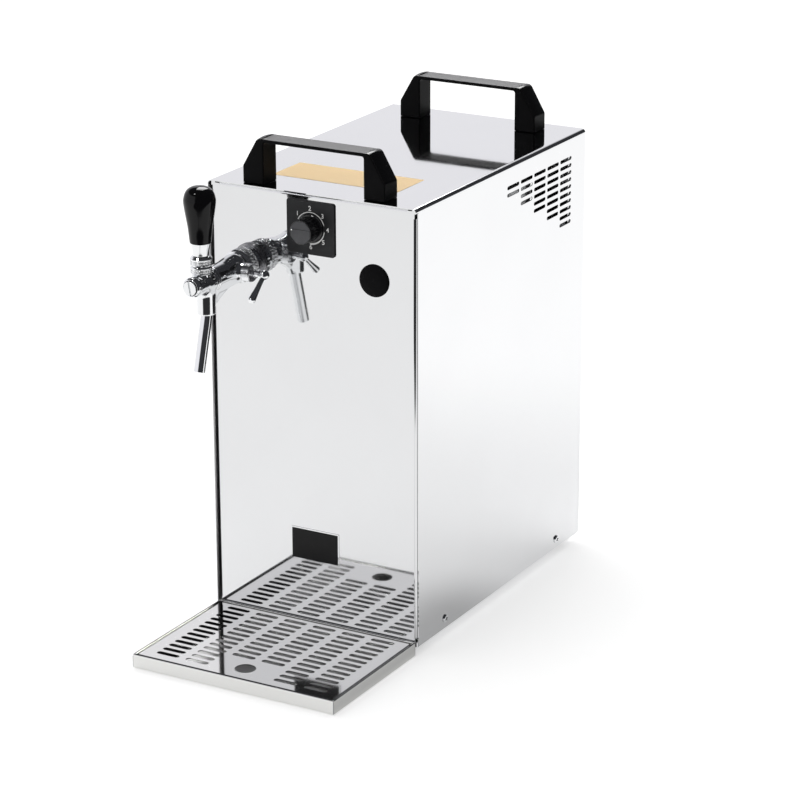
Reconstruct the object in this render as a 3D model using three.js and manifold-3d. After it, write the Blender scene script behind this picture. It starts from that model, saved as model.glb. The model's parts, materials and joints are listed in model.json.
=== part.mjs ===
// Counter-top dry cooler for draught drinks: a folded steel housing with one compensator tap on its
// front panel, a drip tray standing before it and two carrying handles on top.
// Millimetres, +Z up. It is drawn with the front panel's face at y = 0, the table at z = 0 and +X to the
// right of somebody who faces the tap; the last lines move its origin to the middle of its footprint.

import * as THREE from 'three';
import { mergeVertices, toCreasedNormals } from 'three/addons/utils/BufferGeometryUtils.js';
import Module from 'manifold-3d';

const wasm = await Module();
wasm.setup();

// Clearances, and the number of facets round a turned piece

const seam = 0.3;
const overrun = 2;
const fineFacets = 18;
const mediumFacets = 12;
const coarseFacets = 8;
const filletChords = 2;
const slotChords = 2;
const creaseAngle = Math.PI / 6;

// Housing

const housing = {
  width: 244,
  depth: 376,
  top: 480,
  underside: 10.5,
  sheet: 1,
  bend: 4.5,
  panelBend: 2.5,
  flange: 36,
  relief: 9.5,
  cornerTab: 4.5,
  rearRecess: 2,
};

const chassis = {
  sheet: 1.2,
  bend: 2.5,
  sideHeight: 28,
};

const vent = {
  length: 27,
  height: 4,
  columnPitch: 30.75,
  rowPitch: 7.83,
  fromTop: 24.5,
  fromRear: 46.9,
};
const ventRows = [2, 4, 6, 8, 10];

const grille = {
  length: 58,
  height: 6,
  columnPitch: 66,
  rowPitch: 17,
};
const grilleRows = [8, 8];

const casingScrew = {
  fromFront: 59,
  fromRear: 58,
  height: 21.5,
  shankRadius: 2,
  shankLength: 7,
  headRadius: 4.3,
  headRim: 0.8,
  headHeight: 2.3,
  crownRadius: 2.6,
};

const foot = {
  inset: 26,
  fromEnd: 22,
  bottomRadius: 10.5,
  topRadius: 12,
  neckRadius: 3.2,
  headRadius: 4.6,
  headHeight: 3,
};

// Handles

const handle = {
  halfLength: 83,
  depth: 26,
  shoulder: 17.5,
  height: 48.5,
  topHalfLength: 65,
  windowHalf: 58.5,
  barThickness: 4.8,
  windowFillet: 2.5,
  cornerFillet: 3,
  edge: 1.4,
  fromFront: 4,
  fromRear: 20.5,
};

const cap = {
  width: 21.5,
  thickness: 3,
  endMargin: 1.2,
  crownFillet: 7,
  footFillet: 1.5,
  edge: 0.6,
};

// Thermostat

const dial = {
  size: 56,
  fromTop: 35.5,
  thickness: 1.5,
  corner: 3,
  edge: 0.4,
};

const dialKnob = {
  skirtRadius: 15,
  skirtThickness: 3,
  gripBase: 13.4,
  gripFace: 12,
  reach: 21.5,
  chamfer: 0.8,
  boreDepth: 12,
  pointerWidth: 0.9,
  pointerDepth: 0.5,
};
const dialKnobFacets = 8;

const thermostat = {
  width: 40,
  height: 34,
  depth: 26,
  corner: 3,
  neckRadius: 4.8,
  shaftRadius: 3,
  shaftDepth: 8,
  tabWidth: 6.3,
  tabThickness: 0.8,
  tabLength: 8,
  tabPitch: 12,
};

// Tap: distances are measured forward from the panel's face, heights from the tap's axis

const tap = {
  fromSide: 49.5,
  fromTop: 80,
};

const washer = { radius: 20.7, thickness: 2.6, edge: 0.6 };

const notchedRing = { radius: 16, length: 8.4, notchWidth: 2.4, notchDepth: 1.4, wall: 3.6 };
const notchedRingNotches = 12;

const unionNut = { radius: 17.8, length: 14.6, flute: 0.7, chamfer: 1.4, lip: 6.6 };
const unionNutFlutes = 18;

const shank = {
  radius: 11,
  bore: 4.5,
  headRadius: 14.5,
  headLength: 4.4,
  insideLength: 45,
  nutRadius: 17,
  nutLength: 8,
};

const body = {
  collarRadius: 14.5,
  neckRadius: 12.8,
  bulgeRadius: 15.2,
  bulgeFrom: 31,
  bulgeTo: 35,
  shoulderRadius: 14.3,
  shoulderAt: 41,
  waistRadius: 12.4,
  waistFrom: 56,
  waistTo: 75,
  beadRadius: 13.1,
  beadLength: 2.6,
  beadGap: 0.8,
  barrelRadius: 10.5,
  barrelTo: 103,
  endRadius: 9.6,
  endAt: 112,
  valveBore: 6.5,
  valveBoreFrom: 43,
  rearBore: 4,
};

const bonnet = {
  at: 93,
  bossRadius: 9.5,
  bossTop: 10.7,
  spigotRadius: 8.2,
  spigotTop: 15,
  lowerBore: 5,
  lowerBoreTop: 12,
  upperBore: 7,
  nutBore: 8.5,
  nutRadius: 11.2,
  nutTop: 18.9,
  nutFlute: 0.5,
  nutChamfer: 0.5,
};
const bonnetNutFlutes = 14;

const socket = {
  at: 85.5,
  radius: 9.45,
  bottom: 36.4,
  bore: 6.6,
  spoutDepth: 8,
};

const web = {
  width: 11,
  edge: 2,
  rearAt: 31,
  rearDrop: 12,
  frontAt: 77,
  pullAt: 64,
  pullDrop: 16,
};
const webCurvePoints = 6;

const spout = {
  radius: 6.2,
  bore: 5,
  kneeForward: 7.7,
  kneeDrop: 27.4,
  tipForward: 15.3,
  tipDrop: 54.6,
};
const spoutSteps = 7;
const spoutFacets = 12;

const frontPlug = {
  radius: 7.7,
  from: 100.5,
  length: 16.5,
  bore: 8,
  edge: 0.8,
  slotWidth: 1.6,
  slotDepth: 2,
};

const lever = {
  pivotHeight: 8,
  ballRadius: 4.6,
  stemRadius: 3,
  tipRadius: 1.8,
  tipDrop: 9,
  dishRadius: 16.1,
  nutRadius: 11.5,
  nutBottom: 11.3,
  nutTop: 20.8,
  nutFlute: 0.5,
  nutChamfer: 1.2,
  ferruleBottomRadius: 8.4,
  ferruleWaistRadius: 8.9,
  ferruleTopRadius: 10.5,
  ferruleTop: 34.5,
  knobRadius: 16.4,
  knobTop: 92.5,
  studTop: 57,
};
const leverNutFlutes = 14;
const ballChords = 4;
const dishChords = 4;

// Outline of the lever's knob, as shares of its radius and of its length
const knobShares = [
  [0.665, 0], [0.69, 0.07], [0.77, 0.28], [0.91, 0.52], [1, 0.73],
  [0.965, 0.84], [0.85, 0.925], [0.6, 0.98], [0.3, 0.998],
];

const valve = {
  stemRadius: 3,
  from: 46,
  to: 97,
  headRadius: 5.6,
  headLength: 4,
  coneLength: 3,
  eyeLength: 6.6,
  eyeWidth: 4.2,
};

const compensator = {
  at: 38,
  bossRadius: 8.6,
  bossNeck: 7.6,
  bossReach: 16.4,
  boreRadius: 3.4,
  boreDepth: 10,
  collarRadius: 9.5,
  collarLength: 9.6,
  collarFlute: 0.4,
  collarChamfer: 1,
  collarBore: 3.4,
  spindleRadius: 3,
  spindleNeck: 4.2,
  ballRadius: 5.3,
  ballAt: 39.5,
  rodRadius: 2.8,
  rodTipRadius: 4,
  rodLength: 33.4,
  rodDropAngle: 0.68,
};
const compensatorFlutes = 12;

// Plug in the panel's second tap hole

const plug = {
  radius: 17.5,
  crown: 3.4,
  rim: 1.4,
  crownFlat: 13,
  holeRadius: 15,
  spigotRadius: 14.7,
  spigotLength: 8,
  lipRadius: 15.5,
  lipLength: 1.6,
  lipGap: 0.5,
  wall: 1.8,
};

// Drip tray and its grid

const tray = {
  fromSide: 2,
  front: 167,
  rearGap: 0.5,
  height: 16,
  sheet: 1,
  bend: 2,
  hemHeight: 5,
  notch: 1.6,
};

const grid = {
  gap: 1,
  sunk: 1,
  sheet: 1,
  bend: 1.8,
  corner: 3,
  slotWidth: 6.3,
  columnGap: 8.2,
  sideMargin: 15.5,
  rearRow: 13.2,
  frontRow: 18.68,
  holeRadius: 11,
  holeFromFront: 27,
};
const gridColumnRows = [13, 13, 10, 10, 13, 13];

// Cooling set inside the housing

const block = {
  width: 140,
  height: 230,
  front: 50,
  corner: 6,
  foam: 18,
  foamCorner: 10,
  tubeInset: 22,
  suctionShift: 15,
  bulbShift: 12,
  tubeGap: 1,
};

// How much of the room before the compressor the block takes
const blockDepthShare = 0.5263;

const productTube = { radius: 4.75 };
const refrigerantTube = { radius: 3 };
const bulbTube = { radius: 1.1, pocketRadius: 4, pocketDepth: 60 };

// Where the pipes' knees lie, as shares of the way they go
const productKneeShare = 0.4;
const suctionKneeShares = { run: 0.6, fall: 0.2, drop: 0.75 };
const bulbKneeShares = [0.33, 0.67];
const pipeFacets = 5;
const pipeSteps = 10;

const compressor = {
  fromRear: 112,
  radius: 58,
  baseRadius: 40,
  beltRadius: 60,
  belt: 5,
  height: 166,
  plateWidth: 148,
  plateDepth: 108,
  plateThickness: 3,
  plateLift: 5,
  mountX: 62,
  mountY: 42,
  mountHole: 6.6,
  boxWidth: 15,
  boxDepth: 34,
  boxHeight: 42,
  boxBottom: 46,
  stubRadius: 4.5,
  suctionX: 30,
  suctionY: 27,
  stubRise: 6,
  dischargeHeight: 112,
  dischargeReach: 66,
};

// Outline of the compressor's shell above its foot, as shares of its radius and of its height
const shellLowerShares = [[0.97, 0.085], [1, 0.2], [1, 0.48]];
const shellUpperShares = [[0.99, 0.72], [0.86, 0.89], [0.55, 0.98]];

const grommet = {
  height: 18,
  radius: 9,
  neckRadius: 6.2,
  lift: 8,
};

const condenser = {
  fromSide: 19,
  depth: 44,
  fromTop: 39.5,
  height: 181,
  fromRear: 146,
  core: 10,
  fin: 1.4,
  endPlate: 1.6,
  bendPitch: 25,
  bendReach: 9,
  firstBend: 35,
  bendGap: 80,
};
const condenserFins = 13;
const condenserBends = 2;
const bendSteps = 3;

const fan = {
  radius: 71,
  ringBore: 76,
  ringWall: 1.2,
  ringLength: 18,
  hubRadius: 16,
  hubLength: 18,
  hubFrom: 12,
  bladeRoot: 12,
  bladeRootHalf: 8,
  bladeTipHalf: 25,
  bladeThickness: 1.8,
  bladePitch: 0.48,
  shaftRadius: 3,
  motorRadius: 32,
  motorLength: 28,
  motorGap: 5,
  motorChamfer: 4,
};
const fanBlades = 5;

const shroud = {
  fromSide: 14,
  thickness: 1.2,
  legGap: 3.25,
  overCondenser: 5,
  underCondenser: 8,
  footFlange: 14,
  strapHeight: 26,
  strapThickness: 2,
  strapGap: 8,
};

const drier = {
  fromSide: 34,
  fromRear: 162,
  bottom: 130,
  height: 72,
  radius: 12,
  shoulder: 10,
};

// Fittings on the rear panel

const inlet = {
  besideCompressor: 16,
  height: 70,
  threadRadius: 8.6,
  insideLength: 24,
  nutRadius: 12,
  nutLength: 6,
  hexRadius: 12,
  hexLength: 7,
  barrelRadius: 9.4,
  barrelLength: 12,
  bore: 5.1,
  cupRadius: 7.2,
  cupDepth: 7,
  sleeveRadius: 6.8,
  sleeveLength: 5,
  flangeRadius: 8.4,
  flangeThickness: 2,
  travel: 1.5,
};
const nutFlats = 6;

const gland = {
  fromSide: 42,
  height: 70,
  threadRadius: 8,
  insideLength: 10,
  nutRadius: 12,
  nutLength: 5,
  hexRadius: 12,
  hexLength: 6,
  domeRadius: 10.5,
  domeLength: 12,
  domeTopRadius: 7,
  bore: 4,
};

// Sizes that follow from those above

const halfWidth = housing.width / 2;
const insideHalf = halfWidth - housing.sheet - seam;
const panelTop = housing.top - housing.sheet - seam;
const panelMiddle = (panelTop + housing.underside) / 2;
const rearFace = housing.depth - housing.rearRecess;
const chassisUnderside = housing.underside + housing.sheet + seam;
const chassisTop = chassisUnderside + chassis.sheet;
const innerFloor = chassisTop + seam;
const casingScrewPlaces = [casingScrew.fromFront, housing.depth - casingScrew.fromRear];
const footX = halfWidth - foot.inset;
const footPlaces = [foot.fromEnd, rearFace - foot.fromEnd];
const handlePlaces = { front: handle.fromFront, rear: housing.depth - handle.fromRear - handle.depth };
const ventFront = housing.depth - vent.fromRear - (ventRows.length - 1) * vent.columnPitch;
const ventTop = housing.top - vent.fromTop;
const dialHeight = housing.top - dial.fromTop;
const tapX = halfWidth - tap.fromSide;
const tapHeight = housing.top - tap.fromTop;
const compressorMiddle = rearFace - compressor.fromRear;
const blockDepth = (compressorMiddle - compressor.beltRadius - block.front) * blockDepthShare;
const blockMiddle = block.front + blockDepth / 2;
const blockTop = innerFloor + block.height;
const foamTop = blockTop + seam + block.foam;
const foamRear = block.front + blockDepth + seam + block.foam;
const compressorBottom = innerFloor + grommet.lift;
const condenserHalf = halfWidth - condenser.fromSide;
const condenserFront = rearFace - condenser.fromRear;
const condenserRear = condenserFront + condenser.depth;
const condenserMiddle = condenserFront + condenser.depth / 2;
const condenserTop = housing.top - condenser.fromTop;
const condenserBottom = condenserTop - condenser.height;
const fanHeight = (condenserTop + condenserBottom) / 2;
const drierX = halfWidth - drier.fromSide;
const drierMiddle = rearFace - drier.fromRear;
const inletX = compressor.beltRadius + inlet.besideCompressor;
const glandX = halfWidth - gland.fromSide;
const shroudFront = condenserRear + seam;
const shroudRear = shroudFront + shroud.thickness;
const fanMiddle = shroudRear + fan.hubFrom + fan.hubLength / 2;
const motorFront = fanMiddle + fan.hubLength / 2 + fan.motorGap;
const motorRear = motorFront + fan.motorLength;
const plateFront = dial.thickness + seam;
const pivotHeight = lever.pivotHeight;
const ringFrom = washer.thickness + 2 * seam;
const nutFrom = ringFrom + notchedRing.length + seam;
const nutTo = nutFrom + unionNut.length;
const shankFront = nutFrom + shank.headLength;
const collarFront = nutTo - unionNut.lip - seam;

// Finishes: colour, roughness and metalness

const finishes = {
  mirrorSteel: [0xd8dadc, 0.1, 1],
  chrome: [0xe2e4e6, 0.06, 1],
  satinChrome: [0xb9bbbd, 0.38, 1],
  darkNickel: [0x5d5f61, 0.35, 1],
  zincSteel: [0xa7a9a8, 0.5, 1],
  blackGloss: [0x0b0b0c, 0.14, 0],
  blackPlastic: [0x151617, 0.42, 0],
  blackMatt: [0x1c1d1f, 0.7, 0],
  rubber: [0x1a1a1a, 0.85, 0],
  aluminium: [0xb4b7b9, 0.45, 1],
  copper: [0xb87a53, 0.35, 1],
  brass: [0xc2a25a, 0.35, 1],
  blackPaint: [0x101112, 0.45, 0],
  foam: [0x2b2c2e, 0.95, 0],
  whiteTube: [0xe8e9e6, 0.5, 0],
  greyPlastic: [0x8d9296, 0.5, 0],
};

// Directions, and the bases that lay a shape's u, v and depth along them

const RIGHT = new THREE.Vector3(1, 0, 0);
const LEFT = new THREE.Vector3(-1, 0, 0);
const BACK = new THREE.Vector3(0, 1, 0);
const FORWARD = new THREE.Vector3(0, -1, 0);
const UP = new THREE.Vector3(0, 0, 1);
const bases = {
  x: new THREE.Matrix4().makeBasis(BACK, UP, RIGHT),
  y: new THREE.Matrix4().makeBasis(RIGHT, UP, FORWARD),
  z: new THREE.Matrix4(),
};

// Solids

function solid(geometry) {
  const bare = geometry.clone();
  bare.deleteAttribute('normal');
  bare.deleteAttribute('uv');
  const merged = mergeVertices(bare);
  const corners = merged.index.array;
  const triangles = [];
  for (let i = 0; i < corners.length; i += 3) {
    const [a, b, c] = corners.slice(i, i + 3);
    if (a !== b && b !== c && c !== a) triangles.push(a, b, c);
  }
  return new wasm.Manifold(new wasm.Mesh({
    numProp: 3,
    vertProperties: merged.attributes.position.array,
    triVerts: new Uint32Array(triangles),
  }));
}

function join(...geometries) {
  return geometries.map(asSolid).reduce((sum, next) => sum.add(next));
}

function cut(base, ...tools) {
  return tools.flat().map(asSolid).reduce((rest, tool) => rest.subtract(tool), asSolid(base));
}

function common(first, second) {
  return asSolid(first).intersect(asSolid(second));
}

function asSolid(shape) {
  return shape.isBufferGeometry ? solid(shape) : shape;
}

function geometryOf(shape) {
  const { vertProperties, triVerts } = asSolid(shape).getMesh();
  const geometry = new THREE.BufferGeometry();
  geometry.setAttribute('position', new THREE.BufferAttribute(vertProperties, 3));
  geometry.setIndex(new THREE.BufferAttribute(triVerts, 1));
  return toCreasedNormals(geometry, creaseAngle);
}

function piece(parent, name, shape, finish, place = [0, 0, 0]) {
  const [color, roughness, metalness] = finishes[finish];
  const material = new THREE.MeshStandardMaterial({ color, roughness, metalness });
  const mesh = new THREE.Mesh(geometryOf(shape), material);
  mesh.name = name;
  mesh.position.set(...place);
  parent.add(mesh);
  return mesh;
}

function group(parent, place = [0, 0, 0]) {
  const made = new THREE.Group();
  made.position.set(...place);
  parent.add(made);
  return made;
}

// Outlines

// A closed outline through corners [u, v, fillet radius], each fillet an arc of a few chords
function outline(corners, chords = filletChords) {
  const count = corners.length;
  const at = (i) => new THREE.Vector2(...corners[(i + count) % count].slice(0, 2));
  const points = corners.flatMap(([, , radius = 0], i) => {
    const corner = at(i);
    if (radius === 0) return [corner];
    const toBefore = at(i - 1).sub(corner).normalize();
    const toAfter = at(i + 1).sub(corner).normalize();
    const half = Math.acos(toBefore.dot(toAfter)) / 2;
    const middle = toBefore.clone().add(toAfter).normalize();
    const centre = corner.clone().addScaledVector(middle, radius / Math.sin(half));
    const start = corner.clone().addScaledVector(toBefore, radius / Math.tan(half));
    const sweep = Math.sign(toAfter.cross(toBefore)) * (Math.PI - 2 * half);
    return steps(chords).map((share) => start.clone().rotateAround(centre, share * sweep));
  });
  return new THREE.Shape(points);
}

// A slot with round ends, lying along u
function slotOutline(length, width) {
  const radius = width / 2;
  const reach = length / 2 - radius;
  const end = (side) => steps(slotChords).map((share) => {
    const angle = (share - 0.5) * Math.PI;
    return new THREE.Vector2(side * (reach + radius * Math.cos(angle)), side * radius * Math.sin(angle));
  });
  return new THREE.Shape([...end(1), ...end(-1)]);
}

// A ring of small teeth, as a fluted or knurled nut has them
function flutedOutline(radius, depth, count) {
  const points = steps(2 * count).slice(0, -1).map((share, i) => {
    const reach = i % 2 ? radius - depth : radius;
    return new THREE.Vector2(reach, 0).rotateAround(new THREE.Vector2(), share * 2 * Math.PI);
  });
  return new THREE.Shape(points);
}

function steps(count) {
  return Array.from({ length: count + 1 }, (_, i) => i / count);
}

// Extruded, turned and bent forms

// Extrudes an outline from 0 to its length along one axis, with an optional chamfer round both ends
function extruded(shape, length, axis = 'z', chamfer = 0) {
  const geometry = new THREE.ExtrudeGeometry(shape, {
    depth: length - 2 * chamfer,
    bevelEnabled: chamfer > 0,
    bevelThickness: chamfer,
    bevelSize: chamfer,
    bevelOffset: -chamfer,
    bevelSegments: 1,
  });
  geometry.translate(0, 0, chamfer);
  geometry.applyMatrix4(bases[axis]);
  if (axis === 'y') geometry.translate(0, length, 0);
  return geometry;
}

// Turns a profile of [radius, height] points; it starts and ends on the axis or closes on itself
function turned(profile, direction = UP, facets = fineFacets) {
  const points = profile.map(([radius, height]) => new THREE.Vector2(radius, height));
  if (profile[0][0] !== 0) points.push(points[0].clone());
  const geometry = new THREE.LatheGeometry(points, facets);
  return geometry.applyQuaternion(new THREE.Quaternion().setFromUnitVectors(BACK, direction));
}

function rod(radius, from, to, direction = UP, facets = fineFacets) {
  return turned([[0, from], [radius, from], [radius, to], [0, to]], direction, facets);
}

// A cutting rod whose flats, not its corners, lie at the radius, so that a turned piece passes
function passage(radius, from, to, direction = UP, facets = mediumFacets) {
  return rod(radius / Math.cos(Math.PI / facets), from, to, direction, facets);
}

function tube(inner, radius, from, to, direction = UP, facets = fineFacets) {
  return turned([[inner, from], [radius, from], [radius, to], [inner, to]], direction, facets);
}

function box(width, depth, height) {
  return new THREE.BoxGeometry(width, depth, height);
}

// A box between two corners
function boxBetween([x0, y0, z0], [x1, y1, z1]) {
  return box(x1 - x0, y1 - y0, z1 - z0).translate((x0 + x1) / 2, (y0 + y1) / 2, (z0 + z1) / 2);
}

function hexagonPrism(radius, from, to, direction) {
  return rod(radius, from, to, direction, nutFlats);
}

// A pipe through points, its ends square to its course
function pipe(points, radius, facets = pipeFacets, count = pipeSteps) {
  const path = new THREE.CatmullRomCurve3(points.map((point) => new THREE.Vector3(...point)));
  const section = new THREE.Shape(steps(facets).slice(1).map((share) => {
    return new THREE.Vector2(radius, 0).rotateAround(new THREE.Vector2(), share * 2 * Math.PI);
  }));
  return new THREE.ExtrudeGeometry(section, { steps: count, bevelEnabled: false, extrudePath: path });
}

// A block with its four lower edges rounded, centred on the origin and standing on z = floor
function dishBlock(width, length, floor, top, bend) {
  const side = (half) => outline([[-half, top], [-half, floor, bend], [half, floor, bend], [half, top]]);
  const along = extruded(side(width / 2), length, 'y').translate(0, -length / 2, 0);
  const across = extruded(side(length / 2), width, 'x').translate(-width / 2, 0, 0);
  return common(along, across);
}

// A sheet folded up on all four sides, lying on its face
function foldedPan({ width, length, depth, sheet, bend }) {
  const outside = dishBlock(width, length, 0, depth, bend);
  const inside = dishBlock(width - 2 * sheet, length - 2 * sheet, sheet, depth + overrun, bend - sheet);
  return outside.subtract(inside);
}

// Stops the folds of a pan short of its corners and leaves a flat tab in each corner
function relieveCorners(pan, { width, length, depth, sheet, bend }, relief, tab) {
  const x = width / 2;
  const y = length / 2;
  const above = depth + overrun;
  let made = pan;
  for (const sideX of [-1, 1]) {
    for (const sideY of [-1, 1]) {
      const corner = (fromX, fromY, toZ, past) => boxBetween(
        [sideX > 0 ? x - fromX : -x - past, sideY > 0 ? y - fromY : -y - past, past ? -past : 0],
        [sideX > 0 ? x + past : fromX - x, sideY > 0 ? y + past : fromY - y, toZ],
      );
      made = cut(made, corner(bend, relief, above, overrun), corner(relief, bend, above, overrun));
      if (tab > 0) made = join(made, corner(tab, tab, sheet, 0));
    }
  }
  return made;
}

// Housing: chassis, wrap-round casing and the two end panels

const cooler = new THREE.Group();
const shell = group(cooler);

function makeChassis() {
  const half = insideHalf;
  const { sheet, bend, sideHeight } = chassis;
  const low = chassisUnderside;
  const high = low + sideHeight;
  const channel = outline([
    [-half, high], [-half, low, bend], [half, low, bend], [half, high],
    [half - sheet, high], [half - sheet, low + sheet, bend - sheet],
    [-half + sheet, low + sheet, bend - sheet], [-half + sheet, high],
  ]);
  const from = housing.flange + seam;
  const to = rearFace - housing.flange - seam;
  const tongueHalf = half - housing.sheet - housing.panelBend;
  const tongueFrom = housing.panelBend + seam;
  const tongueTo = rearFace - housing.panelBend - seam;
  const made = join(
    extruded(channel, to - from, 'y').translate(0, from, 0),
    boxBetween([-tongueHalf, tongueFrom, low], [tongueHalf, tongueTo, low + sheet]),
  );
  const footHoles = footPlaces.flatMap((y) => [-footX, footX].map((x) => {
    return footHole(low - overrun, low + sheet + overrun, UP).translate(x, y, 0);
  }));
  return cut(made, footHoles, casingScrewPlaces.map(casingScrewHole));
}

function footHole(from, to, direction) {
  return passage(foot.neckRadius + seam, from, to, direction, coarseFacets);
}

function casingScrewHole(y) {
  const reach = halfWidth + overrun;
  const hole = passage(casingScrew.shankRadius + seam, -reach, reach, RIGHT, coarseFacets);
  return hole.translate(0, y, casingScrew.height);
}

function makeCasingWrap() {
  const { underside, top, sheet, bend } = housing;
  const half = halfWidth;
  const section = outline([
    [half, underside], [half, top, bend], [-half, top, bend], [-half, underside],
    [-half + sheet, underside], [-half + sheet, top - sheet, bend - sheet],
    [half - sheet, top - sheet, bend - sheet], [half - sheet, underside],
  ]);
  const from = housing.panelBend;
  const wrap = extruded(section, housing.depth - from, 'y').translate(0, from, 0);
  const slot = slotOutline(vent.length, vent.height);
  const slots = ventRows.flatMap((rows, column) => Array.from({ length: rows }, (_, row) => {
    const y = ventFront + column * vent.columnPitch;
    const z = ventTop - row * vent.rowPitch;
    return extruded(slot, housing.width + 2 * overrun, 'x').translate(-half - overrun, y, z);
  }));
  return cut(wrap, slots, casingScrewPlaces.map(casingScrewHole));
}

const panelSizes = {
  width: 2 * insideHalf,
  length: panelTop - housing.underside,
  depth: housing.flange,
  sheet: housing.sheet,
  bend: housing.panelBend,
};

function makePanel(holes, bottomSide, tab) {
  const pan = relieveCorners(foldedPan(panelSizes), panelSizes, housing.relief, tab);
  const half = panelSizes.length / 2;
  const reach = housing.panelBend + overrun;
  const footHoles = [-footX, footX].map((x) => {
    return footHole(-reach, reach, BACK).translate(x, bottomSide * half, foot.fromEnd);
  });
  return cut(pan, holes, footHoles);
}

function panelHole(x, y, radius, facets = mediumFacets) {
  return passage(radius, -overrun, housing.sheet + overrun, UP, facets).translate(x, y, 0);
}

// The front panel is drawn face down, so its height runs along -Y
function makeFrontPanel() {
  const holes = [
    panelHole(-tapX, panelMiddle - tapHeight, shank.radius + seam),
    panelHole(tapX, panelMiddle - tapHeight, plug.holeRadius),
    panelHole(0, panelMiddle - dialHeight, thermostat.neckRadius + seam),
  ];
  const shape = makePanel(holes, 1, housing.cornerTab);
  const panel = piece(shell, 'front_panel', shape, 'mirrorSteel', [0, 0, panelMiddle]);
  panel.rotation.x = -Math.PI / 2;
}

function makeRearPanel() {
  const slot = slotOutline(grille.length, grille.height);
  const middleColumn = (grilleRows.length - 1) / 2;
  const slots = grilleRows.flatMap((rows, column) => Array.from({ length: rows }, (_, row) => {
    const x = (column - middleColumn) * grille.columnPitch;
    const y = fanHeight - panelMiddle + (row - (rows - 1) / 2) * grille.rowPitch;
    return extruded(slot, housing.sheet + 2 * overrun).translate(x, y, -overrun);
  }));
  const holes = [
    panelHole(-inletX, inlet.height - panelMiddle, inlet.threadRadius + seam),
    panelHole(glandX, gland.height - panelMiddle, gland.threadRadius + seam),
  ];
  const shape = makePanel([...slots, ...holes], -1, 0);
  const panel = piece(shell, 'rear_panel', shape, 'mirrorSteel', [0, rearFace, panelMiddle]);
  panel.rotation.x = Math.PI / 2;
}

piece(shell, 'base_chassis', makeChassis(), 'zincSteel');
piece(shell, 'casing_wrap', makeCasingWrap(), 'mirrorSteel');
makeFrontPanel();
makeRearPanel();

// Push-in rubber feet and casing screws

const footProfile = [
  [0, 0],
  [foot.bottomRadius, 0],
  [foot.topRadius, housing.underside - seam],
  [foot.neckRadius, housing.underside - seam],
  [foot.neckRadius, innerFloor],
  [foot.headRadius, innerFloor],
  [0, innerFloor + foot.headHeight],
];
const screwProfile = [
  [0, -casingScrew.shankLength],
  [casingScrew.shankRadius, -casingScrew.shankLength],
  [casingScrew.shankRadius, seam],
  [casingScrew.headRadius, seam],
  [casingScrew.headRadius, seam + casingScrew.headRim],
  [casingScrew.crownRadius, seam + casingScrew.headHeight],
  [0, seam + casingScrew.headHeight],
];
const ends = ['front', 'rear'];
const sides = [['left', -1], ['right', 1]];

ends.forEach((end, i) => {
  for (const [side, sign] of sides) {
    const footShape = turned(footProfile, UP, coarseFacets);
    piece(shell, `foot_${end}_${side}`, footShape, 'rubber', [sign * footX, footPlaces[i], 0]);
    const screwShape = turned(screwProfile, sign > 0 ? RIGHT : LEFT, coarseFacets);
    const place = [sign * halfWidth, casingScrewPlaces[i], casingScrew.height];
    piece(shell, `casing_screw_${end}_${side}`, screwShape, 'zincSteel', place);
  }
});

// Handles: a moulded bridge whose sloped shoulders are closed by snap-in caps

const slopeRun = handle.halfLength - handle.topHalfLength;
const slopeRise = handle.height - handle.shoulder;
const slopeTilt = Math.atan2(slopeRun, slopeRise);
const slopeLength = Math.hypot(slopeRun, slopeRise);
const capLength = slopeLength - 2 * cap.endMargin;

// A cap lies in the slope with its outer face flush; grown by the seam it is the pocket for it
function capShape(side, grow, past) {
  const half = cap.width / 2 + grow;
  const crown = cap.crownFillet + grow;
  const face = outline([
    [-half, -capLength / 2 - grow, cap.footFillet], [half, -capLength / 2 - grow, cap.footFillet],
    [half, capLength / 2 + grow, crown], [-half, capLength / 2 + grow, crown],
  ]);
  const thickness = cap.thickness + grow + past;
  const plate = extruded(face, thickness, 'x', past ? 0 : cap.edge).translate(-cap.thickness - grow, 0, 0);
  if (side < 0) plate.rotateZ(Math.PI);
  plate.rotateY(-side * slopeTilt);
  const x = side * (handle.halfLength - slopeRun / 2);
  return plate.translate(x, handle.depth / 2, handle.shoulder + slopeRise / 2);
}

function makeHandle() {
  const { halfLength, shoulder, height, topHalfLength, windowHalf, cornerFillet, windowFillet } = handle;
  const under = height - handle.barThickness;
  const bridge = outline([
    [-halfLength, 0], [-windowHalf, 0],
    [-windowHalf, under, windowFillet], [windowHalf, under, windowFillet],
    [windowHalf, 0], [halfLength, 0], [halfLength, shoulder, cornerFillet],
    [topHalfLength, height, cornerFillet], [-topHalfLength, height, cornerFillet],
    [-halfLength, shoulder, cornerFillet],
  ]);
  const moulding = extruded(bridge, handle.depth, 'y', handle.edge);
  return cut(moulding, [-1, 1].map((side) => capShape(side, seam, overrun)));
}

for (const end of ends) {
  const place = group(shell, [0, handlePlaces[end], housing.top + seam]);
  piece(place, `handle_${end}`, makeHandle(), 'blackPlastic');
  for (const [side, sign] of sides) {
    piece(place, `handle_cap_${end}_${side}`, capShape(sign, 0, 0), 'blackPlastic');
  }
}

// Thermostat: dial plate and knob before the panel, the switch with its sensing tube behind it

const dialGroup = group(shell, [0, 0, dialHeight]);

function makeDialPlate() {
  const half = dial.size / 2;
  const square = outline([
    [-half, -half, dial.corner], [half, -half, dial.corner],
    [half, half, dial.corner], [-half, half, dial.corner],
  ]);
  const plate = extruded(square, dial.thickness, 'y', dial.edge).translate(0, -plateFront, 0);
  const hole = passage(thermostat.neckRadius + seam, -overrun, plateFront + overrun, FORWARD);
  return cut(plate, hole);
}

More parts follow.
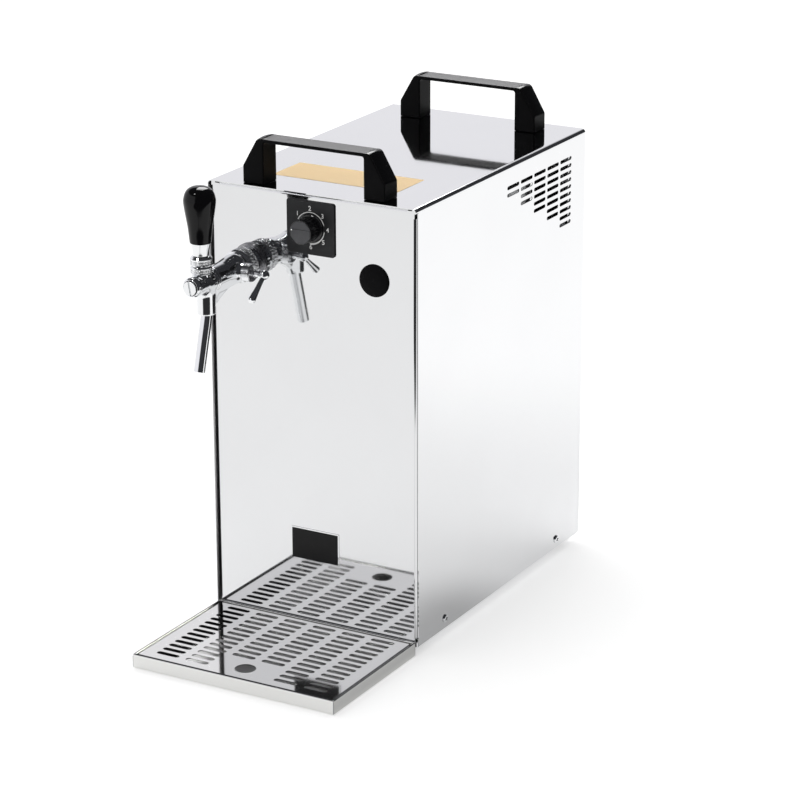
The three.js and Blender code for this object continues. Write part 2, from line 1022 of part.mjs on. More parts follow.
function makeDialKnob() {
  const back = plateFront + seam;
  const { skirtRadius, skirtThickness, gripBase, gripFace, reach, chamfer } = dialKnob;
  const skirt = turned([
    [0, back], [skirtRadius, back], [skirtRadius, back + skirtThickness - chamfer],
    [skirtRadius - chamfer, back + skirtThickness], [0, back + skirtThickness],
  ], FORWARD);
  const grip = turned([
    [0, back], [gripBase, back], [gripFace + chamfer, reach - chamfer], [gripFace, reach], [0, reach],
  ], FORWARD, dialKnobFacets).rotateY(Math.PI / dialKnobFacets);
  const boreTo = back + dialKnob.boreDepth;
  const bore = passage(thermostat.shaftRadius + seam, back - overrun, boreTo, FORWARD);
  const pointer = boxBetween(
    [-gripBase, -reach - overrun, -dialKnob.pointerWidth / 2],
    [gripBase, -reach + dialKnob.pointerDepth, dialKnob.pointerWidth / 2],
  );
  return cut(join(skirt, grip), bore, pointer);
}

function makeThermostat() {
  const back = housing.sheet + seam;
  const halfX = thermostat.width / 2;
  const halfZ = thermostat.height / 2;
  const face = outline([
    [-halfX, -halfZ, thermostat.corner], [halfX, -halfZ, thermostat.corner],
    [halfX, halfZ, thermostat.corner], [-halfX, halfZ, thermostat.corner],
  ]);
  const { tabWidth, tabThickness, tabLength, tabPitch } = thermostat;
  const rear = back + thermostat.depth;
  const tabs = [-1, 0, 1].map((share) => boxBetween(
    [share * tabPitch - tabThickness / 2, rear - tabLength, -tabWidth / 2],
    [share * tabPitch + tabThickness / 2, rear + tabLength, tabWidth / 2],
  ));
  const neck = rod(thermostat.neckRadius, -back - tabThickness, plateFront, FORWARD, mediumFacets);
  const boreFrom = -back - thermostat.shaftDepth;
  const boreTo = plateFront + overrun;
  const bore = passage(thermostat.shaftRadius + seam, boreFrom, boreTo, FORWARD, coarseFacets);
  return cut(join(extruded(face, thermostat.depth, 'y').translate(0, back, 0), neck, ...tabs), bore);
}

const shaftBack = housing.sheet + thermostat.shaftDepth;
const shaftFront = plateFront + dialKnob.boreDepth;
const shaftShape = rod(thermostat.shaftRadius, -shaftBack, shaftFront, FORWARD, coarseFacets);
piece(dialGroup, 'thermostat_plate', makeDialPlate(), 'blackMatt');
piece(dialGroup, 'thermostat_knob', makeDialKnob(), 'blackPlastic');
piece(dialGroup, 'thermostat_body', makeThermostat(), 'greyPlastic');
piece(dialGroup, 'thermostat_shaft', shaftShape, 'brass');

// Plug in the second tap hole

function makePlug() {
  const { radius, rim, crown, crownFlat, spigotRadius, spigotLength, lipRadius, lipLength, wall } = plug;
  const lipFront = -housing.sheet - plug.lipGap;
  const full = turned([
    [0, -spigotLength],
    [spigotRadius, -spigotLength],
    [lipRadius, lipFront - lipLength],
    [lipRadius, lipFront],
    [spigotRadius, lipFront],
    [spigotRadius, seam],
    [radius, seam],
    [radius, rim],
    [crownFlat, crown],
    [0, crown],
  ], FORWARD);
  const hollow = rod(spigotRadius - wall, -spigotLength - overrun, rim, FORWARD, mediumFacets);
  return cut(full, hollow);
}

piece(shell, 'tap_hole_plug', makePlug(), 'blackPlastic', [tapX, 0, tapHeight]);

// Tap: what clamps it to the panel

const tapGroup = group(cooler, [-tapX, 0, tapHeight]);

function makeWasher() {
  const { radius, thickness, edge } = washer;
  const full = turned([
    [0, seam], [radius, seam], [radius, thickness + seam - edge],
    [radius - edge, thickness + seam], [0, thickness + seam],
  ], FORWARD);
  return cut(full, passage(shank.radius + seam, -overrun, thickness + overrun, FORWARD));
}

function makeNotchedRing() {
  const { radius, length, notchWidth, notchDepth } = notchedRing;
  const full = rod(radius, ringFrom, ringFrom + length, FORWARD, 2 * notchedRingNotches);
  const ring = cut(full, passage(shank.radius + seam, 0, ringFrom + length + overrun, FORWARD));
  const notches = steps(notchedRingNotches).slice(1).map((share) => {
    const notch = box(2 * notchDepth, length, notchWidth);
    notch.translate(radius, -ringFrom - length / 2 - notchedRing.wall, 0);
    return notch.rotateY(share * 2 * Math.PI);
  });
  return cut(ring, notches);
}

// A fluted nut with chamfered ends, still without its bore
function makeFlutedNut({ radius, flute, chamfer }, flutes, from, to, direction) {
  const blank = extruded(flutedOutline(radius, flute, flutes), to - from, 'z', chamfer);
  blank.translate(0, 0, from);
  return blank.applyQuaternion(new THREE.Quaternion().setFromUnitVectors(UP, direction));
}

function makeUnionNut() {
  const nut = makeFlutedNut(unionNut, unionNutFlutes, nutFrom, nutTo, FORWARD);
  const thread = passage(body.collarRadius + seam, nutFrom - overrun, nutTo - unionNut.lip, FORWARD);
  const mouth = passage(body.neckRadius + seam, nutFrom, nutTo + overrun, FORWARD);
  return cut(nut, thread, mouth);
}

function makeShank() {
  const { radius, bore, headRadius, insideLength } = shank;
  return turned([
    [bore, -insideLength], [radius, -insideLength], [radius, nutFrom + seam],
    [headRadius, nutFrom + seam], [headRadius, shankFront], [bore, shankFront],
  ], FORWARD, mediumFacets);
}

function makeShankNut() {
  const from = -housing.sheet - seam - shank.nutLength;
  const nut = hexagonPrism(shank.nutRadius, from, -housing.sheet - seam, FORWARD);
  return cut(nut, passage(shank.radius + seam, from - overrun, overrun, FORWARD));
}

piece(tapGroup, 'tap_panel_washer', makeWasher(), 'darkNickel');
piece(tapGroup, 'tap_notched_ring', makeNotchedRing(), 'darkNickel');
piece(tapGroup, 'tap_union_nut', makeUnionNut(), 'chrome');
piece(tapGroup, 'tap_shank', makeShank(), 'zincSteel');
piece(tapGroup, 'tap_shank_nut', makeShankNut(), 'brass');

// Tap body with its bonnet boss, its spout socket and the web between socket and barrel

function makeBodyBarrel() {
  const b = body;
  const beadFrom = b.waistTo;
  const secondBead = beadFrom + b.beadLength + b.beadGap;
  const collarFrom = shankFront + seam;
  return turned([
    [0, collarFrom],
    [b.collarRadius, collarFrom],
    [b.collarRadius, collarFront],
    [b.neckRadius, collarFront],
    [b.neckRadius, nutTo + seam],
    [b.bulgeRadius, b.bulgeFrom],
    [b.bulgeRadius, b.bulgeTo],
    [b.shoulderRadius, b.shoulderAt],
    [b.waistRadius, b.waistFrom],
    [b.waistRadius, beadFrom],
    [b.beadRadius, beadFrom],
    [b.beadRadius, beadFrom + b.beadLength],
    [b.waistRadius, beadFrom + b.beadLength],
    [b.waistRadius, secondBead],
    [b.beadRadius, secondBead],
    [b.beadRadius, secondBead + b.beadLength],
    [b.barrelRadius, secondBead + b.beadLength],
    [b.barrelRadius, b.barrelTo],
    [b.endRadius, b.endAt],
    [0, b.endAt],
  ], FORWARD);
}

function makeWeb() {
  const { rearAt, rearDrop, frontAt, pullAt, pullDrop, width, edge } = web;
  const sweep = new THREE.QuadraticBezierCurve(
    new THREE.Vector2(-rearAt, -rearDrop),
    new THREE.Vector2(-pullAt, -pullDrop),
    new THREE.Vector2(-frontAt, -socket.bottom),
  );
  const profile = new THREE.Shape([
    new THREE.Vector2(-rearAt, 0),
    new THREE.Vector2(-socket.at, 0),
    new THREE.Vector2(-socket.at, -socket.bottom),
    ...sweep.getPoints(webCurvePoints).reverse(),
  ]);
  return extruded(profile, width, 'x', edge).translate(-width / 2, 0, 0);
}

function makeTapBody() {
  const boss = rod(bonnet.bossRadius, 0, bonnet.bossTop).translate(0, -bonnet.at, 0);
  const spigot = rod(bonnet.spigotRadius, 0, bonnet.spigotTop).translate(0, -bonnet.at, 0);
  const spoutSocket = rod(socket.radius, -socket.bottom, 0).translate(0, -socket.at, 0);
  const sideBoss = turned([
    [0, 0], [compensator.bossRadius, 0], [compensator.bossNeck, compensator.bossReach],
    [0, compensator.bossReach],
  ], RIGHT, mediumFacets).translate(0, -compensator.at, 0);
  const solidBody = join(makeBodyBarrel(), boss, spigot, spoutSocket, sideBoss, makeWeb());
  const ballSeat = turned([
    [0, -overrun], [bonnet.lowerBore, -overrun], [bonnet.lowerBore, bonnet.lowerBoreTop],
    [bonnet.upperBore, bonnet.spigotTop], [bonnet.upperBore, bonnet.spigotTop + overrun],
    [0, bonnet.spigotTop + overrun],
  ], UP, mediumFacets).translate(0, -bonnet.at, 0);
  return cut(solidBody, [
    rod(body.rearBore, 0, body.endAt, FORWARD, coarseFacets),
    passage(body.valveBore, body.valveBoreFrom, body.endAt, FORWARD, coarseFacets),
    passage(frontPlug.bore, frontPlug.from - seam, body.endAt + overrun, FORWARD),
    passage(socket.bore, -socket.bottom - overrun, 0).translate(0, -socket.at, 0),
    ballSeat,
    passage(compensator.boreRadius, 0, compensator.bossReach + overrun, RIGHT, coarseFacets)
      .translate(0, -compensator.at, 0),
  ]);
}

function makeFrontPlug() {
  const { radius, from, length, edge, slotWidth, slotDepth } = frontPlug;
  const to = from + length;
  const screw = turned([
    [0, from], [radius, from], [radius, to - edge], [radius - edge, to], [0, to],
  ], FORWARD);
  const slot = boxBetween(
    [-radius - overrun, -to - overrun, -slotWidth / 2],
    [radius + overrun, slotDepth - to, slotWidth / 2],
  );
  return cut(screw, slot);
}

function makeSpout() {
  const top = -socket.bottom + socket.spoutDepth;
  const { kneeForward, kneeDrop, tipForward, tipDrop } = spout;
  const course = [
    [0, -socket.at, top],
    [0, -socket.at, -socket.bottom],
    [0, -socket.at - kneeForward, -socket.bottom - kneeDrop],
    [0, -socket.at - tipForward, -socket.bottom - tipDrop],
  ];
  const outside = pipe(course, spout.radius, spoutFacets, spoutSteps);
  const extended = [[0, -socket.at, top + overrun], ...course.slice(1, 3), extend(course[2], course[3])];
  return cut(outside, pipe(extended, spout.bore, spoutFacets, spoutSteps));
}

// The point a little past the second of two points
function extend(from, to) {
  const start = new THREE.Vector3(...from);
  const end = new THREE.Vector3(...to);
  const onward = end.clone().sub(start).normalize();
  return end.addScaledVector(onward, overrun).toArray();
}

function makeBonnetNut() {
  const { bossTop, nutBore, nutRadius, nutTop, nutFlute, nutChamfer } = bonnet;
  const from = bossTop + seam;
  const teeth = { radius: nutRadius, flute: nutFlute, chamfer: nutChamfer };
  const nut = makeFlutedNut(teeth, bonnetNutFlutes, from, nutTop, UP);
  return cut(nut, passage(nutBore, from - overrun, nutTop + overrun));
}

function makeCompensatorCollar() {
  const { collarRadius, collarLength, collarFlute, collarChamfer, collarBore, bossReach } = compensator;
  const from = bossReach + seam;
  const teeth = { radius: collarRadius, flute: collarFlute, chamfer: collarChamfer };
  const collar = makeFlutedNut(teeth, compensatorFlutes, from, from + collarLength, RIGHT);
  return cut(collar, passage(collarBore, from - overrun, from + collarLength + overrun, RIGHT));
}

piece(tapGroup, 'tap_body', makeTapBody(), 'chrome');
piece(tapGroup, 'tap_front_plug', makeFrontPlug(), 'chrome');
piece(tapGroup, 'tap_spout', makeSpout(), 'chrome');
piece(tapGroup, 'tap_bonnet_nut', makeBonnetNut(), 'chrome', [0, -bonnet.at, 0]);
piece(tapGroup, 'compensator_collar', makeCompensatorCollar(), 'satinChrome', [0, -compensator.at, 0]);

// Pouring lever: it rocks on its ball, and the tip below the ball draws the valve stem open

const leverGroup = group(tapGroup, [0, -bonnet.at, pivotHeight]);

// Quarter-circle stretch of a ball or a dish about the pivot
function arcProfile(radius, fromAngle, toAngle, chords) {
  return steps(chords).map((share) => {
    const angle = fromAngle + share * (toAngle - fromAngle);
    const onAxis = Math.abs(angle) > Math.PI / 2 - Number.EPSILON;
    return [onAxis ? 0 : radius * Math.cos(angle), radius * Math.sin(angle)];
  });
}

function makeLeverStem() {
  const { ballRadius, stemRadius, tipRadius, tipDrop, nutTop, studTop } = lever;
  const low = -Math.acos(tipRadius / ballRadius);
  const high = Math.acos(stemRadius / ballRadius);
  const ferruleFrom = nutTop + seam;
  return turned([
    [0, -tipDrop],
    [tipRadius, -tipDrop],
    ...arcProfile(ballRadius, low, high, ballChords),
    [stemRadius, ferruleFrom],
    [lever.ferruleBottomRadius, ferruleFrom],
    [lever.ferruleWaistRadius, (ferruleFrom + lever.ferruleTop) / 2],
    [lever.ferruleTopRadius, lever.ferruleTop],
    [stemRadius, lever.ferruleTop],
    [stemRadius, studTop],
    [0, studTop],
  ], UP, mediumFacets);
}

function makeLeverNut() {
  const { nutRadius, nutFlute, nutChamfer, nutBottom, nutTop, dishRadius, stemRadius } = lever;
  const teeth = { radius: nutRadius, flute: nutFlute, chamfer: nutChamfer };
  const blank = makeFlutedNut(teeth, leverNutFlutes, nutBottom, nutTop, UP);
  const rimAngle = Math.asin(nutBottom / dishRadius);
  const dishProfile = [[0, 0], ...arcProfile(dishRadius, rimAngle, Math.PI / 2, dishChords)];
  const dish = turned(dishProfile, UP, mediumFacets);
  return cut(blank, dish, passage(stemRadius + seam, 0, nutTop + overrun, UP, coarseFacets));
}

function makeLeverKnob() {
  const { ferruleTop, knobRadius, knobTop, studTop, stemRadius } = lever;
  const from = ferruleTop + seam;
  const length = knobTop - from;
  const side = knobShares.map(([r, z]) => [r * knobRadius, from + z * length]);
  const knob = turned([[0, from], ...side, [0, knobTop]]);
  return cut(knob, passage(stemRadius + seam, from - overrun, studTop + seam));
}

function makeValveStem() {
  const { stemRadius, from, to, headRadius, headLength, coneLength, eyeLength, eyeWidth } = valve;
  const stem = turned([
    [0, from], [stemRadius, from], [headRadius, from + coneLength],
    [headRadius, from + coneLength + headLength], [stemRadius, from + coneLength + headLength],
    [stemRadius, to], [0, to],
  ], FORWARD, mediumFacets);
  const eye = box(eyeWidth, eyeLength, 2 * (stemRadius + overrun)).translate(0, -bonnet.at, 0);
  return cut(stem, eye);
}

piece(leverGroup, 'tap_lever_stem', makeLeverStem(), 'chrome');
piece(leverGroup, 'tap_lever_nut', makeLeverNut(), 'chrome');
piece(leverGroup, 'tap_lever_knob', makeLeverKnob(), 'blackGloss');
piece(tapGroup, 'tap_valve_stem', makeValveStem(), 'satinChrome');

// Compensator lever: a spindle through the collar, a ball at its end and a rod from the ball

function makeCompensatorLever() {
  const c = compensator;
  const spindleFrom = c.bossReach - c.boreDepth;
  const collarEnd = c.bossReach + seam + c.collarLength;
  const spindle = turned([
    [0, spindleFrom], [c.spindleRadius, spindleFrom], [c.spindleRadius, collarEnd + seam],
    [c.spindleNeck, collarEnd + seam], [c.spindleNeck, c.ballAt], [0, c.ballAt],
  ], RIGHT, mediumFacets);
  const ballProfile = arcProfile(c.ballRadius, -Math.PI / 2, Math.PI / 2, ballChords);
  const ball = turned(ballProfile, UP, mediumFacets).translate(c.ballAt, 0, 0);
  const arm = turned([
    [0, 0], [c.rodRadius, 0], [c.rodRadius, c.rodLength / 2],
    [c.rodTipRadius, c.rodLength], [0, c.rodLength],
  ], FORWARD, mediumFacets);
  arm.rotateX(c.rodDropAngle).translate(c.ballAt, 0, 0);
  return join(spindle, ball, arm);
}

piece(tapGroup, 'compensator_lever', makeCompensatorLever(), 'satinChrome', [0, -compensator.at, 0]);

// Drip tray and the slotted grid lying in it

const trayWidth = housing.width - 2 * tray.fromSide;
const trayLength = tray.front - tray.rearGap;
const trayMiddle = -tray.rearGap - trayLength / 2;
const trayGroup = group(cooler, [0, trayMiddle, 0]);

function makeTray() {
  const { height, sheet, bend, hemHeight, notch } = tray;
  const width = trayWidth;
  const walls = foldedPan({ width, length: trayLength, depth: height, sheet, bend });
  const hemMiddle = height - hemHeight / 2;
  const hem = cut(
    box(width - sheet, trayLength - sheet, hemHeight).translate(0, 0, hemMiddle),
    box(width - 4 * sheet, trayLength - 4 * sheet, hemHeight + overrun).translate(0, 0, hemMiddle),
  );
  const notches = [[1, 1], [1, -1], [-1, 1], [-1, -1]].map(([x, y]) => {
    return box(2 * notch, 2 * notch, 2 * notch).translate(x * width / 2, y * trayLength / 2, height);
  });
  return cut(join(walls, hem), notches);
}

const gridWidth = trayWidth - 4 * tray.sheet - 2 * grid.gap;
const gridLength = trayLength - 4 * tray.sheet - 2 * grid.gap;
const gridTop = tray.height - grid.sunk;

// The grid is drawn face down, so its rows run toward +Y from the housing
function makeGrid() {
  const depth = gridTop - tray.sheet - seam;
  const sizes = { width: gridWidth, length: gridLength, depth, sheet: grid.sheet, bend: grid.bend };
  const pan = relieveCorners(foldedPan(sizes), sizes, grid.corner, grid.corner);
  const columns = gridColumnRows.length;
  const slotRoom = gridWidth - 2 * grid.sideMargin - (columns - 1) * grid.columnGap;
  const slotLength = slotRoom / columns;
  const columnPitch = slotLength + grid.columnGap;
  const rowPitch = (tray.front - grid.rearRow - grid.frontRow) / (Math.max(...gridColumnRows) - 1);
  const slot = slotOutline(slotLength, grid.slotWidth);
  const slots = gridColumnRows.flatMap((rows, column) => Array.from({ length: rows }, (_, row) => {
    const x = (column - (columns - 1) / 2) * columnPitch;
    const y = grid.rearRow + row * rowPitch + trayMiddle;
    return extruded(slot, grid.sheet + 2 * overrun).translate(x, y, -overrun);
  }));
  const fingerHole = passage(grid.holeRadius, -overrun, grid.sheet + overrun);
  return cut(pan, slots, fingerHole.translate(0, tray.front - grid.holeFromFront + trayMiddle, 0));
}

piece(trayGroup, 'drip_tray', makeTray(), 'mirrorSteel');
const gridPiece = piece(trayGroup, 'drip_grid', makeGrid(), 'mirrorSteel', [0, 0, gridTop]);
gridPiece.rotation.x = Math.PI;

// Cooling set: aluminium block in its foam, with the product tube to the tap

const cooling = group(cooler);

function roundedSlab(width, depth, height, corner) {
  const w = width / 2;
  const d = depth / 2;
  return extruded(outline([[-w, -d, corner], [w, -d, corner], [w, d, corner], [-w, d, corner]]), height);
}

// Where the tubes leave the block's top, measured from its middle
const productPlace = [-block.width / 2 + block.tubeInset, 0];
const suctionPlace = [block.width / 2 - block.tubeInset, block.suctionShift];
const bulbPlace = [0, -block.bulbShift];

function makeBlock() {
  const slab = roundedSlab(block.width, blockDepth, block.height, block.corner);
  const pocketFloor = block.height - bulbTube.pocketDepth;
  const pocket = passage(bulbTube.pocketRadius, pocketFloor, block.height + overrun, UP, coarseFacets);
  return cut(slab, pocket.translate(...bulbPlace, 0));
}

function makeFoam() {
  const { width, height, corner, foam, foamCorner } = block;
  const grow = 2 * (seam + foam);
  const rise = foamTop - innerFloor;
  const outside = roundedSlab(width + grow, blockDepth + grow, rise, foamCorner);
  const hollow = roundedSlab(width + 2 * seam, blockDepth + 2 * seam, height + seam + overrun, corner);
  const inside = hollow.translate(0, 0, -overrun);
  const upward = ([x, y], radius) => {
    return passage(radius + block.tubeGap, height, rise + overrun, UP, coarseFacets).translate(x, y, 0);
  };
  const rearward = passage(productTube.radius + block.tubeGap, 0, blockDepth + foam, BACK, coarseFacets)
    .translate(-inletX, 0, inlet.height - innerFloor);
  return cut(outside, [
    inside,
    upward(productPlace, productTube.radius),
    upward(suctionPlace, refrigerantTube.radius),
    upward(bulbPlace, bulbTube.pocketRadius),
    rearward,
  ]);
}

const blockPlace = [0, blockMiddle, innerFloor];
piece(cooling, 'cooling_block', makeBlock(), 'aluminium', blockPlace);
piece(cooling, 'insulation_shell', makeFoam(), 'foam', blockPlace);

// Product tubes: from the rear inlet to the block, and from the block up to the tap's shank

const productRise = tapHeight - blockTop;
const productCourse = [
  [productPlace[0], blockMiddle, blockTop + seam],
  [productPlace[0], blockMiddle, blockTop + productRise * productKneeShare],
  [-tapX, shank.insideLength + block.tubeInset, tapHeight - productTube.radius],
  [-tapX, shank.insideLength + seam + productTube.radius, tapHeight],
  [-tapX, shank.insideLength + seam, tapHeight],
];
piece(cooling, 'outlet_tube', pipe(productCourse, productTube.radius), 'whiteTube');

const inletEnd = rearFace - inlet.insideLength - seam;
const inletStart = foamRear + 2 * seam;
const inletCourse = [
  [-inletX, inletStart, inlet.height],
  [-inletX, inletEnd, inlet.height],
];
piece(cooling, 'inlet_tube', pipe(inletCourse, productTube.radius, pipeFacets, 2), 'whiteTube');

// The thermostat's sensing tube runs down into its pocket in the block
const sensorTop = dialHeight - thermostat.height / 2 - seam;
const sensorStart = housing.sheet + seam + thermostat.depth / 2;
const sensorDrop = sensorTop - blockTop;
const bulbY = blockMiddle + bulbPlace[1];
const sensorCourse = [
  [0, sensorStart, sensorTop],
  [0, sensorStart, sensorTop - sensorDrop * bulbKneeShares[0]],
  [0, bulbY, sensorTop - sensorDrop * bulbKneeShares[1]],
  [0, bulbY, blockTop - bulbTube.pocketDepth / 2],
];
piece(cooling, 'thermostat_capillary', pipe(sensorCourse, bulbTube.radius), 'copper');

// Compressor on its rubber mounts

const mountPlaces = [[-1, -1], [1, -1], [-1, 1], [1, 1]].map(([x, y]) => {
  return [x * compressor.mountX, compressorMiddle + y * compressor.mountY];
});

function makeCompressor() {
  const c = compressor;
  const shares = (list) => list.map(([r, z]) => [r * c.radius, z * c.height]);
  const beltFrom = shellLowerShares.at(-1)[1] * c.height;
  const shellForm = turned([
    [0, 0], [c.baseRadius, 0],
    ...shares(shellLowerShares),
    [c.beltRadius, beltFrom], [c.beltRadius, beltFrom + c.belt], [c.radius, beltFrom + c.belt],
    ...shares(shellUpperShares),
    [0, c.height],
  ], UP, mediumFacets);
  const plateTop = c.plateLift + c.plateThickness;
  const plate = boxBetween(
    [-c.plateWidth / 2, -c.plateDepth / 2, c.plateLift],
    [c.plateWidth / 2, c.plateDepth / 2, plateTop],
  );
  const terminals = boxBetween(
    [-c.radius - c.boxWidth / 2, -c.boxDepth / 2, c.boxBottom],
    [-c.radius + c.boxWidth / 2, c.boxDepth / 2, c.boxBottom + c.boxHeight],
  );
  const suction = rod(c.stubRadius, c.plateLift, c.height + c.stubRise, UP, coarseFacets);
  suction.translate(c.suctionX, -c.suctionY, 0);
  const discharge = rod(c.stubRadius, 0, c.dischargeReach, RIGHT, coarseFacets);
  discharge.translate(0, 0, c.dischargeHeight);
  const holes = mountPlaces.map(([x, y]) => {
    const hole = passage(c.mountHole, 0, plateTop + overrun, UP, coarseFacets);
    return hole.translate(x, y - compressorMiddle, 0);
  });
  return cut(join(shellForm, plate, terminals, suction, discharge), holes);
}

const grooveFrom = grommet.lift + compressor.plateLift - seam;
const grooveTo = grooveFrom + compressor.plateThickness + 2 * seam;
const grommetProfile = [
  [0, 0],
  [grommet.radius, 0],
  [grommet.radius, grooveFrom],
  [grommet.neckRadius, grooveFrom],
  [grommet.neckRadius, grooveTo],
  [grommet.radius, grooveTo],
  [0, grommet.height],
];

piece(cooling, 'compressor', makeCompressor(), 'blackPaint', [0, compressorMiddle, compressorBottom]);
mountPlaces.forEach(([x, y], i) => {
  const grommetShape = turned(grommetProfile, UP, coarseFacets);
  piece(cooling, `compressor_mount_${i + 1}`, grommetShape, 'rubber', [x, y, innerFloor]);
});

// Condenser: fins on a core between two end plates, with the return bends outside them

function makeCondenser() {
  const { depth, height, core, fin, endPlate } = condenser;
  const half = condenserHalf;
  const pitch = 2 * half / condenserFins;
  const fins = Array.from({ length: condenserFins }, (_, i) => (i + 0.5) * pitch - half);
  const teeth = (side) => fins.flatMap((x) => [
    [x - fin / 2, side * core / 2], [x - fin / 2, side * depth / 2],
    [x + fin / 2, side * depth / 2], [x + fin / 2, side * core / 2],
  ]);
  const comb = outline([
    [-half, -core / 2], ...teeth(-1), [half, -core / 2],
    [half, core / 2], ...teeth(1).reverse(), [-half, core / 2],
  ]);
  const plates = [-1, 1].map((side) => {
    return box(endPlate, depth, height).translate(side * (half + endPlate / 2), 0, height / 2);
  });
  const bends = [-1, 1].flatMap((side) => Array.from({ length: condenserBends }, (_, i) => {
    const low = condenser.firstBend + i * condenser.bendGap;
    const x = side * (half + endPlate / 2);
    return pipe([
      [x, 0, low],
      [x + side * condenser.bendReach, 0, low + condenser.bendPitch / 2],
      [x, 0, low + condenser.bendPitch],
    ], refrigerantTube.radius, pipeFacets, bendSteps);
  }));
  return join(extruded(comb, height), ...plates, ...bends);
}

piece(cooling, 'condenser', makeCondenser(), 'aluminium', [0, condenserMiddle, condenserBottom]);

// Fan: shroud standing on the chassis behind the condenser, strap, motor and blade

function makeShroud() {
  const { thickness, footFlange, strapHeight, strapThickness } = shroud;
  const half = halfWidth - shroud.fromSide;
  const legInside = inletX + productTube.radius + shroud.legGap;
  const legTop = condenserBottom - shroud.underCondenser;
  const top = condenserTop + shroud.overCondenser;
  const strapHalf = fan.ringBore + shroud.strapGap;
  const face = outline([
    [-half, innerFloor], [-legInside, innerFloor], [-legInside, legTop], [legInside, legTop],
    [legInside, innerFloor], [half, innerFloor], [half, top], [-half, top],
  ]);
  const mouth = rod(fan.ringBore, -overrun, thickness + overrun, BACK);
  const plate = cut(extruded(face, thickness, 'y'), mouth.translate(0, 0, fanHeight));
  const ring = tube(fan.ringBore, fan.ringBore + fan.ringWall, 0, fan.ringLength, BACK);
  ring.translate(0, 0, fanHeight);
  const legWidth = half - legInside;
  const flanges = [-1, 1].map((side) => {
    const middle = side * (legInside + half) / 2;
    return boxBetween(
      [middle - legWidth / 2, 0, innerFloor],
      [middle + legWidth / 2, footFlange, innerFloor + thickness],
    );
  });
  const strapBack = motorRear + seam + strapThickness - shroudFront;
  const strapInside = strapHalf - strapThickness;
  const strapInsideBack = strapBack - strapThickness;
  const strap = outline([
    [-strapHalf, 0], [-strapInside, 0], [-strapInside, strapInsideBack],
    [strapInside, strapInsideBack], [strapInside, 0], [strapHalf, 0],
    [strapHalf, strapBack], [-strapHalf, strapBack],
  ]);
  const bracket = extruded(strap, strapHeight).translate(0, 0, fanHeight - strapHeight / 2);
  return join(plate, ring, bracket, ...flanges);
}

function makeFanMotor() {
  const { shaftRadius, motorRadius, motorChamfer, hubLength } = fan;
  const shaftFrom = fanMiddle - hubLength / 2;
  return turned([
    [0, shaftFrom], [shaftRadius, shaftFrom], [shaftRadius, motorFront],
    [motorRadius - motorChamfer, motorFront], [motorRadius, motorFront + motorChamfer],
    [motorRadius, motorRear], [0, motorRear],
  ], BACK, mediumFacets);
}

function makeFanBlade() {
  const { radius, hubRadius, hubLength, bladeRoot, bladeRootHalf, bladeTipHalf, bladeThickness } = fan;
  const shoulder = Math.sqrt(radius ** 2 - bladeTipHalf ** 2);
  const leaf = outline([
    [bladeRoot, -bladeRootHalf], [shoulder, -bladeTipHalf], [radius, 0],
    [shoulder, bladeTipHalf], [bladeRoot, bladeRootHalf],
  ]);
  const blades = steps(fanBlades).slice(1).map((share) => {
    const blade = extruded(leaf, bladeThickness).translate(0, 0, -bladeThickness / 2);
    blade.rotateX(Math.PI / 2 + fan.bladePitch);
    return blade.rotateY(share * 2 * Math.PI);
  });
  const hub = rod(hubRadius, -hubLength / 2, hubLength / 2, BACK, mediumFacets);
  const bore = passage(fan.shaftRadius + seam, -hubLength, hubLength, BACK, coarseFacets);
  return cut(join(hub, ...blades), bore);
}

const fanGroup = group(cooling, [0, 0, fanHeight]);
piece(cooling, 'fan_shroud', makeShroud(), 'zincSteel', [0, shroudFront, 0]);
piece(fanGroup, 'fan_motor', makeFanMotor(), 'blackPaint');
piece(fanGroup, 'fan_blade', makeFanBlade(), 'blackPlastic', [0, fanMiddle, 0]);

// Refrigerant pipes, and the drier with the pipes brazed into its ends

const dischargeStart = compressor.dischargeReach + seam;
const dischargeTop = condenserBottom - seam;
const dischargeCourse = [
  [dischargeStart, compressorMiddle, compressorBottom + compressor.dischargeHeight],
  [dischargeStart + compressor.stubRadius, compressorMiddle, compressorBottom + compressor.dischargeHeight],
  [drierX, compressorMiddle - condenser.core, compressorBottom + compressor.height],
  [drierX, condenserMiddle, dischargeTop],
];
const suctionStub = [compressor.suctionX, compressorMiddle - compressor.suctionY];
const suctionStart = [suctionPlace[0], blockMiddle + suctionPlace[1]];
const suctionFall = foamTop - compressorBottom - compressor.height - compressor.stubRise;
const suctionRun = suctionStub[1] - foamRear;
const kneeFront = foamRear + suctionRun * suctionKneeShares.run;
const kneeTop = foamTop - suctionFall * suctionKneeShares.fall;
const suctionCourse = [
  [...suctionStart, blockTop + seam],
  [...suctionStart, foamTop - block.foam / 2],
  [...suctionStart, foamTop],
  [(suctionStart[0] + suctionStub[0]) / 2, foamRear, foamTop + block.foam],
  [suctionStub[0], kneeFront, kneeTop],
  [...suctionStub, foamTop - suctionFall * suctionKneeShares.drop],
  [...suctionStub, foamTop - suctionFall + seam],
];

